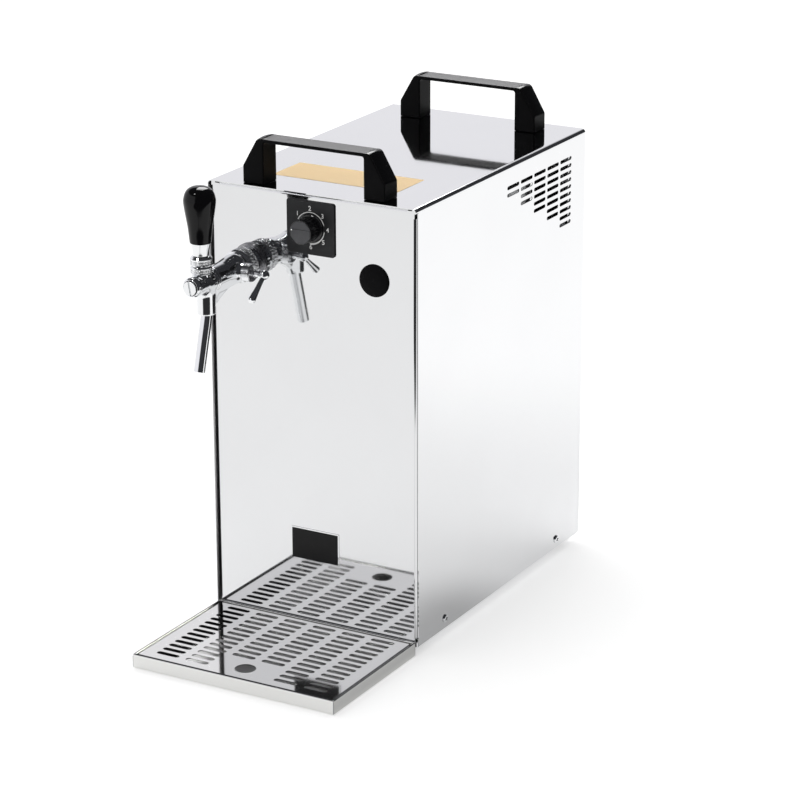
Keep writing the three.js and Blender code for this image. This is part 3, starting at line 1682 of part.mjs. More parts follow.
function makeDrier() {
  const { bottom, height, radius, shoulder } = drier;
  const x = drierX;
  const y = drierMiddle;
  const pipeRadius = refrigerantTube.radius;
  const can = turned([
    [0, 0], [pipeRadius, 0], [radius, shoulder],
    [radius, height - shoulder], [pipeRadius, height], [0, height],
  ], UP, mediumFacets).translate(-x, y, bottom);
  const upper = pipe([
    [-x, y, bottom + height - shoulder / 2],
    [-x, y, bottom + height + shoulder],
    [-x, condenserMiddle, condenserBottom - shoulder],
    [-x, condenserMiddle, condenserBottom - seam],
  ], pipeRadius);
  const lower = pipe([
    [-x, y, bottom + shoulder / 2],
    [-x, y, bottom - shoulder],
    [-x + radius, (y + foamRear) / 2, bottom - 2 * shoulder],
    [-x + 2 * radius, foamRear + pipeRadius, bottom - shoulder],
  ], bulbTube.radius);
  return join(can, upper, lower);
}

piece(cooling, 'discharge_pipe', pipe(dischargeCourse, refrigerantTube.radius), 'copper');
piece(cooling, 'suction_pipe', pipe(suctionCourse, refrigerantTube.radius), 'copper');
piece(cooling, 'filter_drier', makeDrier(), 'copper');

// Rear fittings: push-in inlet with its release collet, and the gland for the mains lead

const inletGroup = group(shell, [-inletX, rearFace, inlet.height]);
const inletFace = seam + inlet.hexLength + inlet.barrelLength;

function makeInlet() {
  const i = inlet;
  const inside = -housing.sheet - seam;
  const core = turned([
    [i.bore, -i.insideLength], [i.threadRadius, -i.insideLength], [i.threadRadius, seam],
    [i.barrelRadius, seam + i.hexLength], [i.barrelRadius, inletFace], [i.cupRadius, inletFace],
    [i.cupRadius, inletFace - i.cupDepth], [i.bore, inletFace - i.cupDepth],
  ], BACK, mediumFacets);
  const hex = cut(
    hexagonPrism(i.hexRadius, seam, seam + i.hexLength, BACK),
    rod(i.threadRadius - seam, 0, inletFace, BACK, coarseFacets),
  );
  const nut = cut(
    hexagonPrism(i.nutRadius, inside - i.nutLength, inside, BACK),
    rod(i.threadRadius - seam, inside - i.nutLength - overrun, 0, BACK, coarseFacets),
  );
  return join(core, hex, nut);
}

function makeCollet() {
  const { bore, sleeveRadius, sleeveLength, flangeRadius, flangeThickness, travel } = inlet;
  const flangeFrom = inletFace + travel + seam;
  return turned([
    [bore, inletFace - sleeveLength], [sleeveRadius, inletFace - sleeveLength],
    [sleeveRadius, flangeFrom], [flangeRadius, flangeFrom],
    [flangeRadius, flangeFrom + flangeThickness], [bore, flangeFrom + flangeThickness],
  ], BACK, mediumFacets);
}

function makeGland() {
  const g = gland;
  const inside = -housing.sheet - seam;
  const hexTo = seam + g.hexLength;
  const core = turned([
    [g.bore, -g.insideLength], [g.threadRadius, -g.insideLength], [g.threadRadius, seam],
    [g.domeRadius, hexTo], [g.domeRadius, hexTo + g.domeLength / 2],
    [g.domeTopRadius, hexTo + g.domeLength], [g.bore, hexTo + g.domeLength],
  ], BACK, mediumFacets);
  const hex = cut(
    hexagonPrism(g.hexRadius, seam, hexTo, BACK),
    rod(g.threadRadius - seam, 0, hexTo + overrun, BACK, coarseFacets),
  );
  const nut = cut(
    hexagonPrism(g.nutRadius, inside - g.nutLength, inside, BACK),
    rod(g.threadRadius - seam, inside - g.nutLength - overrun, 0, BACK, coarseFacets),
  );
  return join(core, hex, nut);
}

piece(inletGroup, 'inlet_fitting', makeInlet(), 'greyPlastic');
piece(inletGroup, 'inlet_collet', makeCollet(), 'blackPlastic');
piece(shell, 'cable_gland', makeGland(), 'blackPlastic', [glandX, rearFace, gland.height]);

// The origin is the middle of the footprint, from the tray's front to the inlet's collet
const rearEnd = rearFace + inletFace + inlet.travel + seam + inlet.flangeThickness;
cooler.position.y = (tray.front - rearEnd) / 2;

export default cooler;
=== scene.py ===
"""Dry cooler for draught beer: a mirror-polished folded housing with a chromed compensator tap.

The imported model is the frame. The visible pieces are made again here with round bends, round slots, knurls
and cast blends, and every piece gets its finish. Shapes are written in millimetres with the front panel's
face at y = 0 and the table at z = 0, and are set into the frame by PANEL.
"""
import json
from math import asin, cos, degrees, pi, radians, sin, tan

import bmesh
import bpy
import numpy as np
from mathutils import Euler, Matrix, Vector


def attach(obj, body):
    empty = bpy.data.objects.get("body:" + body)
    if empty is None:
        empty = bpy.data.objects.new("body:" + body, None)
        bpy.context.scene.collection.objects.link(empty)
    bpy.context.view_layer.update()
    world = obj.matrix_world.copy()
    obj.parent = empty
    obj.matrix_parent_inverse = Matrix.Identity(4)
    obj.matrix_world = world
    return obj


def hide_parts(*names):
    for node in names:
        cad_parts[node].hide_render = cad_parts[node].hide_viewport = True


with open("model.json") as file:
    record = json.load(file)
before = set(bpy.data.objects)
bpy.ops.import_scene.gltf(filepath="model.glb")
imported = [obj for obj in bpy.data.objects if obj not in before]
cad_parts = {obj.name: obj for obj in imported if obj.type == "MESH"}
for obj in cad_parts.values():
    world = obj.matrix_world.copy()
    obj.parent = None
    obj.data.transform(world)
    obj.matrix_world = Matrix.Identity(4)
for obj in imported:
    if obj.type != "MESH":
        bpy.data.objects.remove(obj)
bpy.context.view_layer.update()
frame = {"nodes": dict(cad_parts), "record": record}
SCENE = bpy.context.scene

MM = 0.001
PANEL = -115.05  # where the front panel's face stands in the frame
SHARP = radians(32)  # edges that bend more than this stay crisp
DOUBLE = 1e-4  # points nearer than this are one


# Camera

def place_camera():
    """The photograph's view: a long lens to the right of the front, looking down on the housing."""
    stand = (1.5335, -2.64885, 1.2763)
    yaw, pitch, roll = (radians(a) for a in (-29.465, 18.933, -0.159))
    ahead = Vector((sin(yaw) * cos(pitch), cos(yaw) * cos(pitch), -sin(pitch)))
    right = Vector((cos(yaw), -sin(yaw), 0))
    up = right.cross(ahead)
    level_right = right * cos(roll) + up * sin(roll)
    level_up = up * cos(roll) - right * sin(roll)
    lens = bpy.data.cameras.new("camera")
    lens.lens, lens.sensor_width = 137.2, 36
    lens.clip_start, lens.clip_end = 0.1, 60
    camera = bpy.data.objects.new("camera", lens)
    turn = Matrix((level_right, level_up, -ahead)).transposed().to_4x4()
    camera.matrix_world = Matrix.Translation(stand) @ turn
    SCENE.collection.objects.link(camera)
    SCENE.camera = camera


place_camera()


# Finishes: arithmetic on a socket adds the nodes that do it

class Field:
    """A value that changes over a surface."""

    def __init__(self, finish, socket):
        self.finish, self.socket = finish, socket

    def maths(self, operation, *values):
        return self.finish.node("Math", {"operation": operation}, *values)

    def __add__(self, other):
        return self.maths("ADD", self, other)

    def __mul__(self, other):
        return self.maths("MULTIPLY", self, other)

    def __truediv__(self, other):
        return self.maths("DIVIDE", self, other)

    def __rsub__(self, other):
        return self.maths("SUBTRACT", other, self)

    __radd__ = __add__

    def size(self):
        return self.maths("ABSOLUTE", self)

    def between(self, low, high):
        """0 below low, 1 above high, and a smooth rise between them."""
        return self.finish.node("MapRange", {"interpolation_type": "SMOOTHSTEP"},
                                Value=self, From_Min=low, From_Max=high)


class Finish:
    """A material's nodes."""

    def __init__(self, tree):
        self.tree = tree

    def node(self, kind, settings=None, *values, out=0, **named):
        """A shader node, its sockets filled in order or by name."""
        made = self.tree.nodes.new("ShaderNode" + kind)
        for key, value in (settings or {}).items():
            setattr(made, key, value)
        sockets = {s.name.replace(" ", "_"): s for s in reversed(made.inputs) if s.enabled}
        for i, value in enumerate(values):
            self.feed(made.inputs[i], value)
        for key, value in named.items():
            self.feed(sockets[key], value)
        return Field(self, made.outputs[out])

    def feed(self, socket, value):
        if isinstance(value, Field):
            self.tree.links.new(value.socket, socket)
        else:
            socket.default_value = value

    def place(self):
        """Where the surface is, in the piece's own metres."""
        return self.node("TexCoord", out=3)

    def stretched(self, along):
        """Where the surface is, with each direction scaled, for grain that runs one way."""
        return self.node("Mapping", None, Vector=self.place(), Scale=along)

    def along(self, vector, direction):
        """How far a vector reaches along a direction."""
        return self.node("VectorMath", {"operation": "DOT_PRODUCT"}, vector, direction, out=1)

    def rays(self):
        """Whether the camera sees a surface itself, and whether it is seen in something glossy."""
        return self.node("LightPath"), self.node("LightPath", out="Is Glossy Ray")

    def noise(self, scale, detail, vector=None):
        return self.node("TexNoise", None, Vector=vector or self.place(), Scale=scale, Detail=detail,
                         Roughness=0.5)

    def blend(self, share, first, second):
        return self.node("Mix", {"data_type": "RGBA"}, share, out=2, A=first, B=second)

    def bump(self, height, depth):
        return self.node("Bump", None, Height=height, Distance=depth, Strength=1.0)


def finish(name, colour, rough, metal, recipe, **sockets):
    """A named material: fixed values on its sockets, and what varies from its recipe."""
    material = bpy.data.materials.new(name)
    material.use_nodes = True
    material.diffuse_color = (*colour, 1)
    shader = material.node_tree.nodes["Principled BSDF"]
    nodes = Finish(material.node_tree)
    values = {"Base Color": (*colour, 1), "Roughness": rough, "Metallic": metal, **sockets,
              **recipe(nodes, colour, rough)}
    for key, value in values.items():
        nodes.feed(shader.inputs[key.replace("_", " ")], value)
    return material


def tint(colour, share):
    return (*(c * share for c in colour), 1)


def polished_sheet(n, colour, rough):
    """Mirror-polished sheet: faint waves of the rolled sheet, a trace of grain and hazy wiping marks."""
    haze = n.noise(9, 4).between(0.35, 0.75)
    marks = n.noise(60, 3, n.stretched((1, 1, 0.08))).between(0.45, 0.8)
    waves = n.noise(5, 1) * 0.5
    return {
        "Base Color": n.blend(haze, tint(colour, 1), tint(colour, 0.985)),
        "Roughness": rough + haze * 0.02 + marks * 0.012,
        "Normal": n.bump(waves, 0.0006),
    }


def satin_sheet(n, colour, rough):
    """Sheet with a soft sheen: long fine grain and cloudy patches."""
    grain = n.noise(900, 2, n.stretched((0.02, 1, 1)))
    cloud = n.noise(14, 4).between(0.3, 0.75)
    return {
        "Base Color": n.blend(cloud, tint(colour, 1), tint(colour, 0.93)),
        "Roughness": rough + cloud * 0.08 + grain * 0.05,
        "Normal": n.bump(grain, 0.00002),
    }


def plated(n, colour, rough):
    """Bright plate over a cast and turned body: barely uneven, with a few dull specks."""
    skin = n.noise(160, 3)
    specks = n.noise(420, 2).between(0.62, 0.78)
    return {
        "Base Color": n.blend(specks, tint(colour, 1), tint(colour, 0.9)),
        "Roughness": rough + specks * 0.08 + skin * 0.015,
        "Normal": n.bump(skin, 0.00003),
    }


def galvanised(n, colour, rough):
    """Zinc plate: pale and dark spangle."""
    spangle = n.node("TexVoronoi", None, Vector=n.place(), Scale=120.0)
    return {
        "Base Color": n.blend(spangle * 0.9, tint(colour, 0.82), tint(colour, 1.08)),
        "Roughness": rough + spangle * 0.12,
    }


def moulded(n, colour, rough):
    """Moulded plastic: a fine spark-eroded grain, polished a little on its high spots and its top."""
    top = n.along(n.node("NewGeometry", out="Normal"), (0, 0, 1)).between(0.95, 0.995)
    grain = n.noise(1500, 2)
    worn = n.noise(25, 3).between(0.4, 0.8)
    return {
        "Base Color": n.blend(worn, tint(colour, 1), tint(colour, 1.35)),
        "Roughness": rough - worn * 0.08 + grain * 0.06,
        "Coat Weight": top * 0.6,
        "Normal": n.bump(grain, 0.00004),
    }


def lacquered(n, colour, rough):
    """Gloss moulding: nearly flawless, with a very slight orange peel and a few hairlines."""
    peel = n.noise(220, 2)
    hairs = n.noise(700, 2, n.stretched((1, 1, 0.05))).between(0.6, 0.8)
    return {"Roughness": rough + hairs * 0.05, "Normal": n.bump(peel, 0.00001)}


def rubbery(n, colour, rough):
    dust = n.noise(70, 5).between(0.45, 0.85)
    return {
        "Base Color": n.blend(dust, tint(colour, 1), tint(colour, 2.2)),
        "Roughness": rough - dust * 0.1,
        "Normal": n.bump(n.noise(2400, 2), 0.00004),
    }


def drawn_metal(n, colour, rough):
    """Bare tube or block: tarnished in patches, with the marks of drawing."""
    tarnish = n.noise(38, 5).between(0.35, 0.75)
    return {
        "Base Color": n.blend(tarnish, tint(colour, 1.05), tint(colour, 0.72)),
        "Roughness": rough + tarnish * 0.15,
        "Normal": n.bump(n.noise(1200, 2), 0.00002),
    }


def foamed(n, colour, rough):
    cells = n.node("TexVoronoi", None, Vector=n.place(), Scale=600.0)
    return {
        "Base Color": n.blend(cells, tint(colour, 0.7), tint(colour, 1.2)),
        "Normal": n.bump(cells, 0.0003),
    }


def paper(n, colour, rough):
    fibres = n.noise(900, 4)
    yellowed = n.noise(24, 3).between(0.3, 0.8)
    return {
        "Base Color": n.blend(yellowed, tint(colour, 1.0), tint(colour, 0.955)),
        "Roughness": rough + fibres * 0.12,
        "Normal": n.bump(fibres, 0.00001),
    }


def printed_black(n, colour, rough):
    """Matt black face plate: a fine even texture with faint rubbed patches."""
    grain = n.noise(2200, 2)
    rubbed = n.noise(45, 3).between(0.45, 0.85)
    return {
        "Base Color": n.blend(rubbed, tint(colour, 1), tint(colour, 1.5)),
        "Roughness": rough - rubbed * 0.08 + grain * 0.05,
        "Normal": n.bump(grain, 0.00002),
    }


CHROME, SOFT_BLACK, HARD_BLACK = (0.86, 0.87, 0.88), (0.003, 0.003, 0.0034), (0.004, 0.004, 0.0045)
FINISHES = {
    "mirror_steel": finish("polished_steel", (0.76, 0.764, 0.772), 0.035, 1.0, polished_sheet),
    "zinc_steel": finish("zinc_plate", (0.56, 0.57, 0.58), 0.36, 1.0, galvanised),
    "chrome": finish("bright_chrome", CHROME, 0.035, 1.0, plated),
    "satin_chrome": finish("satin_chrome", CHROME, 0.24, 1.0, plated),
    "dark_nickel": finish("dark_nickel", (0.30, 0.30, 0.31), 0.25, 1.0, plated),
    "black_gloss": finish("gloss_black", HARD_BLACK, 0.07, 0.0, lacquered, Specular_IOR_Level=0.22),
    "black_plastic": finish("black_moulding", SOFT_BLACK, 0.42, 0.0, moulded,
                            Specular_IOR_Level=0.06, Coat_Roughness=0.36, Coat_IOR=1.5),
    "black_matt": finish("dial_black", (0.012, 0.0125, 0.014), 0.42, 0.0, printed_black,
                         Specular_IOR_Level=0.35),
    "rubber": finish("black_rubber", (0.02, 0.02, 0.02), 0.75, 0.0, rubbery),
    "aluminium": finish("mill_aluminium", (0.62, 0.63, 0.64), 0.4, 1.0, drawn_metal),
    "copper": finish("bare_copper", (0.72, 0.36, 0.22), 0.35, 1.0, drawn_metal),
    "brass": finish("bare_brass", (0.66, 0.49, 0.2), 0.32, 1.0, drawn_metal),
    "black_paint": finish("black_enamel", (0.015, 0.015, 0.016), 0.4, 0.0, moulded),
    "foam": finish("black_foam", (0.03, 0.03, 0.032), 0.95, 0.0, foamed),
    "white_tube": finish("white_tube", (0.8, 0.8, 0.78), 0.45, 0.0, lacquered),
    "grey_plastic": finish("grey_moulding", (0.26, 0.28, 0.3), 0.45, 0.0, moulded),
}
KNURLED_CHROME = finish("knurled_chrome", CHROME, 0.13, 1.0, plated)
RIBBED_BLACK = finish("ribbed_black", (0.006, 0.006, 0.007), 0.17, 0.0, lacquered, Specular_IOR_Level=0.6)
LID_BLACK = finish("cap_black", SOFT_BLACK, 0.2, 0.0, lacquered, Specular_IOR_Level=0.2)
GRIP_BLACK = finish("knob_black", (0.075, 0.076, 0.082), 0.4, 0.0, printed_black)
PLATE_BLACK = finish("plate_black", HARD_BLACK, 0.2, 0.0, lacquered, Specular_IOR_Level=0.2)
PRINT_WHITE = finish("dial_print", (0.96, 0.96, 0.95), 0.5, 0.0, paper)
SATIN_STEEL = finish("satin_steel", (0.5, 0.5, 0.5), 0.3, 1.0, satin_sheet)
TRAY_STEEL = finish("tray_steel", (0.76, 0.76, 0.745), 0.05, 1.0, polished_sheet)
AMBER_LABEL = finish("amber_label", (0.68, 0.47, 0.205), 0.45, 0.0, paper)

for entry in frame["record"]["subparts"]:
    cad = frame["nodes"][entry["node"]]
    cad.data.materials.clear()
    cad.data.materials.append(FINISHES[entry["material_slot"]])


# Pieces: built in millimetres, then handed over with their finish, their body and the node they stand for

def piece(name, mesh, look, body="housing", at=(0, 0, 0), turn=(0, 0, 0), stands_for=(), slot=None):
    """Sets a mesh in millimetres into the frame, smooth but for its sharp edges."""
    mesh.transform(Matrix.Diagonal((MM, MM, MM, 1)))
    made = bpy.data.objects.new(name, mesh)
    SCENE.collection.objects.link(made)
    spot = Vector((at[0], at[1] + PANEL, at[2])) * MM
    made.matrix_world = Matrix.Translation(spot) @ Euler([radians(a) for a in turn]).to_matrix().to_4x4()
    form = bmesh.new()
    form.from_mesh(mesh)
    for face in form.faces:
        face.smooth = True
    for edge in form.edges:
        edge.smooth = len(edge.link_faces) == 2 and edge.calc_face_angle() < SHARP
    form.to_mesh(mesh)
    form.free()
    mesh.materials.clear()
    mesh.materials.append(FINISHES[look] if isinstance(look, str) else look)
    made.modifiers.new("shading by area", "WEIGHTED_NORMAL").keep_sharp = True
    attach(made, body)
    if stands_for:
        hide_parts(*stands_for)
    return made


def welded(mesh):
    """Joins doubled points and turns the faces outward."""
    form = bmesh.new()
    form.from_mesh(mesh)
    bmesh.ops.remove_doubles(form, verts=form.verts, dist=DOUBLE)
    bmesh.ops.recalc_face_normals(form, faces=form.faces)
    form.to_mesh(mesh)
    form.free()
    return mesh


def mesh_of(points, faces):
    mesh = bpy.data.meshes.new("form")
    mesh.from_pydata([tuple(p) for p in points], [], faces)
    return welded(mesh)


def loft(rings, closed_ends=True):
    """A skin over rings of as many points each."""
    count = len(rings[0])
    faces = []
    for i in range(len(rings) - 1):
        for j in range(count):
            k = (j + 1) % count
            faces.append((i * count + j, i * count + k, (i + 1) * count + k, (i + 1) * count + j))
    if closed_ends:
        last = (len(rings) - 1) * count
        faces += [tuple(range(count)), tuple(range(last, last + count))]
    return mesh_of([p for ring in rings for p in ring], faces)


def mesh_from(curve):
    """The mesh of a filled curve or of lettering, which is used up."""
    carrier = bpy.data.objects.new("outline", curve)
    SCENE.collection.objects.link(carrier)
    shape = bpy.data.meshes.new_from_object(carrier.evaluated_get(bpy.context.evaluated_depsgraph_get()))
    bpy.data.objects.remove(carrier)
    bpy.data.curves.remove(curve)
    shape.materials.clear()
    return shape


def joined(*meshes):
    form = bmesh.new()
    for mesh in meshes:
        form.from_mesh(mesh)
        bpy.data.meshes.remove(mesh)
    result = bpy.data.meshes.new("form")
    form.to_mesh(result)
    form.free()
    return result


def moved(mesh, offset=(0, 0, 0), turn=(0, 0, 0)):
    turned_by = Euler([radians(a) for a in turn]).to_matrix().to_4x4()
    mesh.transform(Matrix.Translation(offset) @ turned_by)
    return mesh


def filleted(corners, chords, closed=True):
    """Points through corners (u, v, fillet), each fillet an arc."""
    points = []
    count = len(corners)
    for i, corner in enumerate(corners):
        at = Vector(corner[:2])
        radius = corner[2] if len(corner) > 2 else 0
        if radius == 0 or (not closed and i in (0, count - 1)):
            points.append(at)
            continue
        before = (Vector(corners[i - 1][:2]) - at).normalized()
        after = (Vector(corners[(i + 1) % count][:2]) - at).normalized()
        half = before.angle(after) / 2
        centre = at + (before + after).normalized() * (radius / sin(half))
        first = at + before * (radius / tan(half)) - centre
        last = at + after * (radius / tan(half)) - centre
        bend = pi - 2 * half
        for step in range(chords + 1):
            near, far = sin(bend * (1 - step / chords)), sin(bend * step / chords)
            points.append(centre + (first * near + last * far) / sin(bend))
    return points


def lathe(profile, segments, reach=None):
    """A form turned about z from (radius, height, fillet) corners; reach(angle, height, radius) flutes it."""
    points, faces, rows = [], [], []
    for r, z in filleted(profile, 3, closed=False):
        if r < 1e-6:
            rows.append([len(points)])
            points.append((0, 0, z))
            continue
        rows.append(range(len(points), len(points) + segments))
        for i in range(segments):
            a = 2 * pi * i / segments
            rr = reach(a, z, r) if reach else r
            points.append((rr * cos(a), rr * sin(a), z))
    for low, high in zip(rows, rows[1:]):
        for i in range(segments):
            j = (i + 1) % segments
            if len(low) == 1 and len(high) > 1:
                faces.append((low[0], high[i], high[j]))
            elif len(high) == 1 and len(low) > 1:
                faces.append((low[i], low[j], high[0]))
            elif len(low) > 1:
                faces.append((low[i], low[j], high[j], high[i]))
    return mesh_of(points, faces)


def plate(outline, thickness, holes=(), edge=0.0, steps=2):
    """A flat plate between z = 0 and its thickness, with holes and slightly rounded edges."""
    curve = bpy.data.curves.new("outline", "CURVE")
    curve.dimensions, curve.fill_mode = "2D", "BOTH"
    curve.extrude, curve.bevel_depth = thickness / 2 - edge, edge
    curve.bevel_resolution, curve.offset = steps, -edge
    for ring in (outline, *holes):
        line = curve.splines.new("POLY")
        line.points.add(len(ring) - 1)
        for point, spot in zip(line.points, ring):
            point.co = (spot[0], spot[1], 0, 1)
        line.use_cyclic_u = True
    return moved(welded(mesh_from(curve)), (0, 0, thickness / 2))


def slot_ring(x, y, length, width):
    """The outline of a round-ended slot lying along x."""
    radius, reach, chords = width / 2, (length - width) / 2, 10
    ring = []
    for side in (1, -1):
        for i in range(chords + 1):
            a = (i / chords - 0.5) * pi
            ring.append((x + side * (reach + radius * cos(a)), y + side * radius * sin(a)))
    return ring


def arc(cx, cy, radius, first, last, chords=10):
    """Points on an arc between two angles in degrees."""
    angles = [radians(first + (last - first) * i / chords) for i in range(chords + 1)]
    return [(cx + radius * cos(a), cy + radius * sin(a)) for a in angles]


def circle(x, y, radius, count=48):
    return [(x + radius * cos(2 * pi * i / count), y + radius * sin(2 * pi * i / count))
            for i in range(count)]


def box(half_x, half_y, *fillet):
    return [(x * half_x, y * half_y, *fillet) for x, y in ((-1, -1), (1, -1), (1, 1), (-1, 1))]


def four_corners(corner):
    """An outline from its corner in the first quarter, mirrored into the others."""
    outline = []
    for sx, sy in ((1, 1), (-1, 1), (-1, -1), (1, -1)):
        ring = [(sx * u, sy * v) for u, v in corner]
        outline += ring if sx * sy > 0 else ring[::-1]
    return outline


def strip(section, length):
    """A closed section (u, v) drawn along +z from 0 to its length."""
    return loft([[(u, v, z) for u, v in section] for z in (0, length)])


def flanges(half_x, half_y, relief, rise, side, end):
    """The folded edges of a plate between its cut corners, from the sections of its sides and ends."""
    made = []
    for quarter in range(4):
        reach, across, section = (half_y, half_x, end) if quarter % 2 else (half_x, half_y, side)
        length = 2 * (across - relief)
        edge = moved(moved(strip(section, length), (0, 0, -length / 2)), turn=(90, 0, 0))
        made.append(moved(moved(edge, (reach, 0, rise)), turn=(0, 0, 90 * quarter)))
    return made


def smooth_path(points, count):
    """Points along a curve through the given ones, evenly in their parameter."""
    p = [Vector(q) for q in points]
    p = [2 * p[0] - p[1], *p, 2 * p[-1] - p[-2]]
    path = []
    for i in range(1, len(p) - 2):
        a, b, c, d = p[i - 1:i + 3]
        for k in range(count):
            t = k / count
            path.append(0.5 * (2 * b + (c - a) * t + (2 * a - 5 * b + 4 * c - d) * t * t
                               + (3 * b - a - 3 * c + d) * t ** 3))
    return [*path, p[-2]]


def sweep(path, section):
    """An open tube: a ring section(share) -> [(u, v)] carried along a path, square to its course."""
    side = (path[1] - path[0]).orthogonal()
    rings = []
    for i, spot in enumerate(path):
        ahead = (path[min(i + 1, len(path) - 1)] - path[max(i - 1, 0)]).normalized()
        side = (side - ahead * side.dot(ahead)).normalized()
        other = ahead.cross(side)
        rings.append([spot + side * u + other * v for u, v in section(i / (len(path) - 1))])
    return loft(rings, closed_ends=False)


def cast(field, low, high, cell):
    """The skin of a cast form: where field(points) crosses zero, meshed on a grid and drawn onto it."""
    axes = [np.arange(a, b + cell, cell) for a, b in zip(low, high)]
    grid = np.stack(np.meshgrid(*axes, indexing="ij"), axis=-1)
    inside = field(grid.reshape(-1, 3)).reshape(grid.shape[:3]) < 0
    corners = sum(inside[dx:dx - 1 or None, dy:dy - 1 or None, dz:dz - 1 or None].astype(int)
                  for dx in (0, 1) for dy in (0, 1) for dz in (0, 1))
    cells = (corners > 0) & (corners < 8)
    number = -np.ones(cells.shape, int)
    number[cells] = np.arange(cells.sum())
    points = grid[:-1, :-1, :-1][cells] + cell / 2
    faces = []
    for axis in range(3):
        u, v = [(1, 2), (2, 0), (0, 1)][axis]
        a = np.take(inside, range(inside.shape[axis] - 1), axis)
        b = np.take(inside, range(1, inside.shape[axis]), axis)
        for spot in np.argwhere(a != b):
            if 0 in (spot[u], spot[v]):
                continue
            ring = []
            for du, dv in ((1, 1), (0, 1), (0, 0), (1, 0)):
                near = spot.copy()
                near[u] -= du
                near[v] -= dv
                ring.append(number[tuple(near)])
            faces.append(ring if a[tuple(spot)] else ring[::-1])
    passes, small, least_slope = 5, 0.02, 0.05
    for _ in range(passes):
        value = field(points)
        slope = np.stack([(field(points + step) - field(points - step)) / (2 * small)
                          for step in np.eye(3) * small], axis=-1)
        points = points - slope * (value / np.maximum((slope ** 2).sum(-1), least_slope))[:, None]
    return mesh_of(points, [tuple(int(i) for i in ring) for ring in faces])


def melted(first, second, soft):
    """Two forms cast as one, with a fillet between them."""
    mix = np.clip(0.5 + 0.5 * (second - first) / soft, 0, 1)
    return second * (1 - mix) + first * mix - soft * mix * (1 - mix)


# Casing: the wrap's top with its two bends, and its two slotted sides

WIDE, DEEP, TOP = 122.0, 376.0, 480.0  # half its width, its length and the height of its top
UNDER, SHEET, BEND = 10.5, 1.0, 4.5  # its lower edge, its thickness and the outer radius of its bends
FRONT_LIP, FRONT_RIGHT = -2.5, 2.5  # where the top and the right side end in front
HEM_END, HEM_BEND = 6, 0.95  # how far back the left side's front hem reaches, and its radius
VENT_ROWS = (2, 4, 6, 8, 10)  # slots in each column, from the front
VENT_START, VENT_STEP, VENT_SIZE = (206.1, 455.5), (30.75, -7.83), (27, 4)


def make_casing():
    outer, inner = ([*arc(WIDE - BEND, TOP - BEND, bend, 0, 90), *arc(BEND - WIDE, TOP - BEND, bend, 90, 180)]
                    for bend in (BEND, BEND - SHEET))
    crown = moved(strip([*outer, *inner[::-1]], DEEP - FRONT_LIP), (0, DEEP, 0), (90, 0, 0))
    piece("casing_top", crown, "mirror_steel", stands_for=["casing_wrap"])
    slots = [slot_ring(VENT_START[0] + VENT_STEP[0] * column, VENT_START[1] + VENT_STEP[1] * row, *VENT_SIZE)
             for column, rows in enumerate(VENT_ROWS) for row in range(rows)]
    for side, x, front in (("right", WIDE - SHEET, FRONT_RIGHT), ("left", -WIDE, HEM_END)):
        face = [(front, UNDER), (DEEP, UNDER), (DEEP, TOP - BEND), (front, TOP - BEND)]
        wall = moved(plate(face, SHEET, slots), (x, 0, 0), (90, 0, 90))
        piece(f"casing_side_{side}", wall, "mirror_steel", stands_for=["casing_wrap"])
    hem = [(-WIDE, HEM_END), *arc(HEM_BEND - WIDE, FRONT_LIP + HEM_BEND, HEM_BEND, 180, 360, 8),
           (2 * HEM_BEND - WIDE, HEM_END)]
    edge = moved(strip(hem, TOP - BEND - UNDER), (0, 0, UNDER))
    piece("casing_front_hem", edge, SATIN_STEEL, slot="mirror_steel")


# Folded end panels: a face with relieved corners, and a flange folded back along each edge

LOW, HIGH = 10.5, 478.7  # the heights of their lower and upper edges
FOLD, END_FOLD, FLANGE = 2.8, 3.2, 36.0  # the bends of its sides and ends, and how deep the flanges are
RELIEF, NOTCH = 9.5, 1.7  # the cut that frees each corner, and how far it goes in
DIAL_Z = 444.5  # the thermostat's axis
FORWARD = (90, 0, 0)  # turns a form that is drawn upright to point out of the front panel


def end_panel(name, node, half, holes, tab, at, turn):
    """Drawn lying on its face, its flanges rising along z; tab is the width of the corners it keeps, or 0."""
    x, y = half, (HIGH - LOW) / 2
    corner = [(x - FOLD, y - RELIEF), (x - FOLD, y - END_FOLD), (x - RELIEF, y - END_FOLD)]
    if tab:
        corner = [(x - FOLD, y - RELIEF), (x - NOTCH, y - RELIEF), (x - NOTCH, y - tab), (x, y - tab), (x, y),
                  (x - tab, y), (x - tab, y - NOTCH), (x - RELIEF, y - NOTCH), (x - RELIEF, y - END_FOLD)]
    folds = [[*arc(-bend, bend, bend, -90, 0, 8), (0, FLANGE), (-SHEET, FLANGE),
              *arc(-bend, bend, bend - SHEET, 0, -90, 8)] for bend in (FOLD, END_FOLD)]
    form = joined(plate(four_corners(corner), SHEET, holes), *flanges(x, y, RELIEF, 0, *folds))
    piece(name, form, "mirror_steel", at=at, turn=turn, stands_for=[node])


def make_end_panels():
    middle = (HIGH + LOW) / 2
    set_over = 1.0
    openings = ((-72.5, 400, 11.3), (72.5, 400, 15), (0, DIAL_Z, 5.1))
    holes = [circle(x - set_over, middle - z, radius) for x, z, radius in openings]
    end_panel("front_face", "front_panel", 119.7, holes, 4.5, (set_over, 0, middle), (-90, 0, 0))
    holes = [circle(-76, 70 - middle, 8.9), circle(80, 70 - middle, 8.3)]
    for column in (-33, 33):
        for row in range(8):
            holes.append(slot_ring(column, 350 - middle + (row - 3.5) * 17, 58, 6))
    end_panel("rear_face", "rear_panel", 120.7, holes, 0, (0, 374, middle), (90, 0, 0))


make_casing()
make_end_panels()


# Handles: a moulded bridge, and a cap snapped over each of its sloped shoulders

HANDLE_Z, HANDLE_DEEP, HANDLE_EDGE = 480.3, 26, 1.5  # where it stands, its depth and its rounded edges


